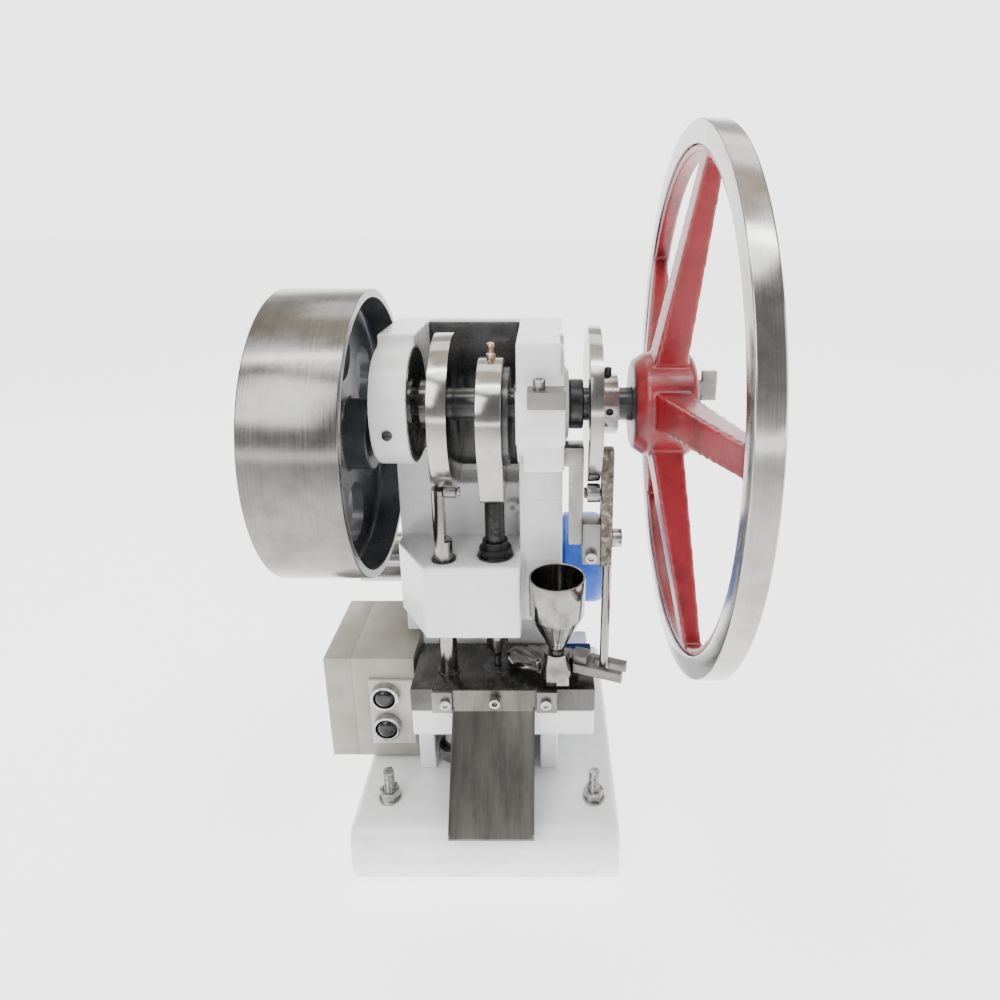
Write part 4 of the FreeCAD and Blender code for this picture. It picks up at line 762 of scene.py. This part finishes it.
# ---------------------------------------------------------------- all other pieces
LOOK_OF = {
    "base_studs": "threaded", "stud_washers": "zinc", "stud_nuts": "zinc",
    "bearing_bushes": "oily", "ring_gear": "oily", "pinion_shaft": "rod",
    "bearing_clamp_bar": "clamp", "oil_plug": "dark", "die_plate": "plate", "die": "die",
    "plate_clamps": "clamp", "cap_screws_m6": "zinc", "chute": "sheet",
    "punch_sleeve": "rod", "fill_gear": "dark", "ejection_gear": "dark",
    "main_shaft": "smooth_black", "gib_key": "ground", "shaft_collar": "dark",
    "lift_cam": "shaft_turned", "eccentric_sheave": "smooth_black", "feed_cam": "shaft_turned",
    "feed_cam_screws": "black", "grease_nipple": "nipple", "ram": "rod",
    "ram_rod": "black", "ram_locknut": "black", "upper_punch": "rod",
    "lift_rod": "rod", "lift_roller": "ground", "lift_yoke": "dark",
    "lower_punch": "rod", "swing_bracket": "ground", "pivot_block": "clamp",
    "pivot_screw": "zinc", "swing_arm": "weathered", "feed_rod": "rod",
    "feed_roller": "ground", "shoe_post": "rod", "feed_fork": "clamp",
    "feed_hopper": "polished", "shoe_screw": "zinc",
    "control_case": "box", "control_cover": "box", "button_panel": "panel",
    "button_bezels": "zinc",
    "motor_body": "blue", "motor_fan_cover": "fan_blue", "bracket_bolts": "zinc",
    "motor_pulley": "shaft_turned",
}


def make_small_pieces():
    """Every other piece keeps its CAD shape, with eased edges."""
    for node, look in LOOK_OF.items():
        eased(node, look)


# ---------------------------------------------------------------- room, light and camera
def make_floor():
    """A pale floor that glows a little under and behind the press."""
    work = bmesh.new()
    bmesh.ops.create_grid(work, x_segments=2, y_segments=2, size=14.0)
    mesh = finished("floor", work)
    floor = bpy.data.objects.new("floor", mesh)
    bpy.context.collection.objects.link(floor)
    floor.location.z = -0.0003
    paint = Paint("floor_paint")
    cloud = paint.noise(1.5, 2.0, 0.5)
    paint.color(paint.ramp(cloud, ((0.3, (0.83, 0.83, 0.83)), (0.7, (0.86, 0.86, 0.86)))))
    parts = paint.add("ShaderNodeSeparateXYZ")
    paint.link(paint.coords, parts.inputs[0])
    fade = paint.add("ShaderNodeMapRange")
    for socket, number in (("From Min", -1.2), ("From Max", -0.20), ("To Min", 0.35),
                           ("To Max", 1.9)):
        fade.inputs[socket].default_value = number
    paint.link(parts.outputs["Y"], fade.inputs["Value"])
    paint.link(fade.outputs["Result"], paint.shader.inputs["Emission Strength"])
    paint.set(Roughness=0.6, Emission_Color=(1.0, 1.0, 1.0, 1.0))
    mesh.materials.append(paint.material)


def soft_light(name, place, target, size, power, tint=(1.0, 1.0, 1.0)):
    data = bpy.data.lights.new(name, "AREA")
    data.shape = "RECTANGLE"
    data.size, data.size_y = size
    data.energy = power
    data.color = tint
    light = bpy.data.objects.new(name, data)
    bpy.context.collection.objects.link(light)
    light.location = place
    aim = Vector(target) - Vector(place)
    light.rotation_euler = aim.to_track_quat("-Z", "Y").to_euler()


def add_ramp(tree, value, stops):
    """A colour ramp whose stops are (place, grey) or (place, red, green, blue)."""
    ramp = tree.nodes.new("ShaderNodeValToRGB")
    tree.links.new(value, ramp.inputs["Fac"])
    points = ramp.color_ramp.elements
    while len(points) < len(stops):
        points.new(0.5)
    for point, (place, *color) in zip(points, stops):
        point.position = place
        point.color = (*(color * 3)[:3], 1.0) if len(color) == 1 else (*color, 1.0)
    return ramp.outputs["Color"]


def make_world():
    """A pale room: bright behind the press, dim in front with two bright bands in the dim."""
    world = bpy.data.worlds.new("room")
    bpy.context.scene.world = world
    world.use_nodes = True
    tree = world.node_tree
    coords = tree.nodes.new("ShaderNodeTexCoord")
    parts = tree.nodes.new("ShaderNodeSeparateXYZ")
    tree.links.new(coords.outputs["Generated"], parts.inputs[0])
    height = tree.nodes.new("ShaderNodeMapRange")
    height.inputs["From Min"].default_value = -1.0
    tree.links.new(parts.outputs["Z"], height.inputs["Value"])
    front = add_ramp(tree, height.outputs["Result"], (
        (0.0, 0.22), (0.472, 0.22), (0.488, 1.5), (0.525, 1.5), (0.55, 0.17), (0.75, 0.10),
        (0.925, 0.12), (0.942, 1.5), (0.972, 1.5), (0.985, 0.30), (1.0, 0.42, 0.37, 0.31)))
    behind = add_ramp(tree, height.outputs["Result"], (
        (0.0, 1.0), (0.64, 1.0), (0.72, 0.30), (0.90, 0.28, 0.25, 0.21),
        (1.0, 0.42, 0.37, 0.31)))
    side = tree.nodes.new("ShaderNodeMapRange")
    side.inputs["From Min"].default_value = -0.25
    side.inputs["From Max"].default_value = 0.15
    tree.links.new(parts.outputs["Y"], side.inputs["Value"])
    both = tree.nodes.new("ShaderNodeMix")
    both.data_type = "RGBA"
    tree.links.new(side.outputs["Result"], both.inputs[0])
    tree.links.new(front, both.inputs[6])
    tree.links.new(behind, both.inputs[7])
    back = tree.nodes["Background"]
    tree.links.new(both.outputs[2], back.inputs["Color"])
    back.inputs["Strength"].default_value = 3.4


def make_lights():
    """Soft boxes: a key at the left front, a long strip above and weaker ones around."""
    target = (0.0, 0.0, 0.28)
    soft_light("key_light", (-0.9, -1.5, 1.7), target, (1.0, 1.2), 24.0)
    soft_light("fill_light", (1.7, -1.1, 0.9), target, (0.7, 1.6), 9.0)
    soft_light("strip_light", (0.0, -0.42, 1.9), (0.0, -0.1, 0.4), (2.4, 0.16), 13.0)
    soft_light("top_light", (0.1, 0.9, 1.9), target, (1.6, 0.7), 8.0)
    soft_light("back_light", (-1.4, 1.4, 1.0), target, (0.8, 1.2), 6.0)


def make_camera():
    """From just under the handwheel's top, 18 degrees down, with a shifted lens."""
    data = bpy.data.cameras.new("camera")
    camera = bpy.data.objects.new("camera", data)
    bpy.context.collection.objects.link(camera)
    camera.location = (0.0440, -0.5630, 0.5893)
    camera.rotation_euler = (math.radians(90.0 - 18.04), 0.0, 0.0)
    data.sensor_width = 36.0
    data.lens = 25.12
    data.shift_x = -0.0444
    data.shift_y = -0.0672
    data.clip_start = 0.01
    bpy.context.scene.camera = camera


make_camera()
make_castings()
make_handwheel()
make_drum()
make_strap()
make_shoe()
make_button("start_button")
make_button("stop_button")
make_small_pieces()
make_floor()
make_world()
make_lights()
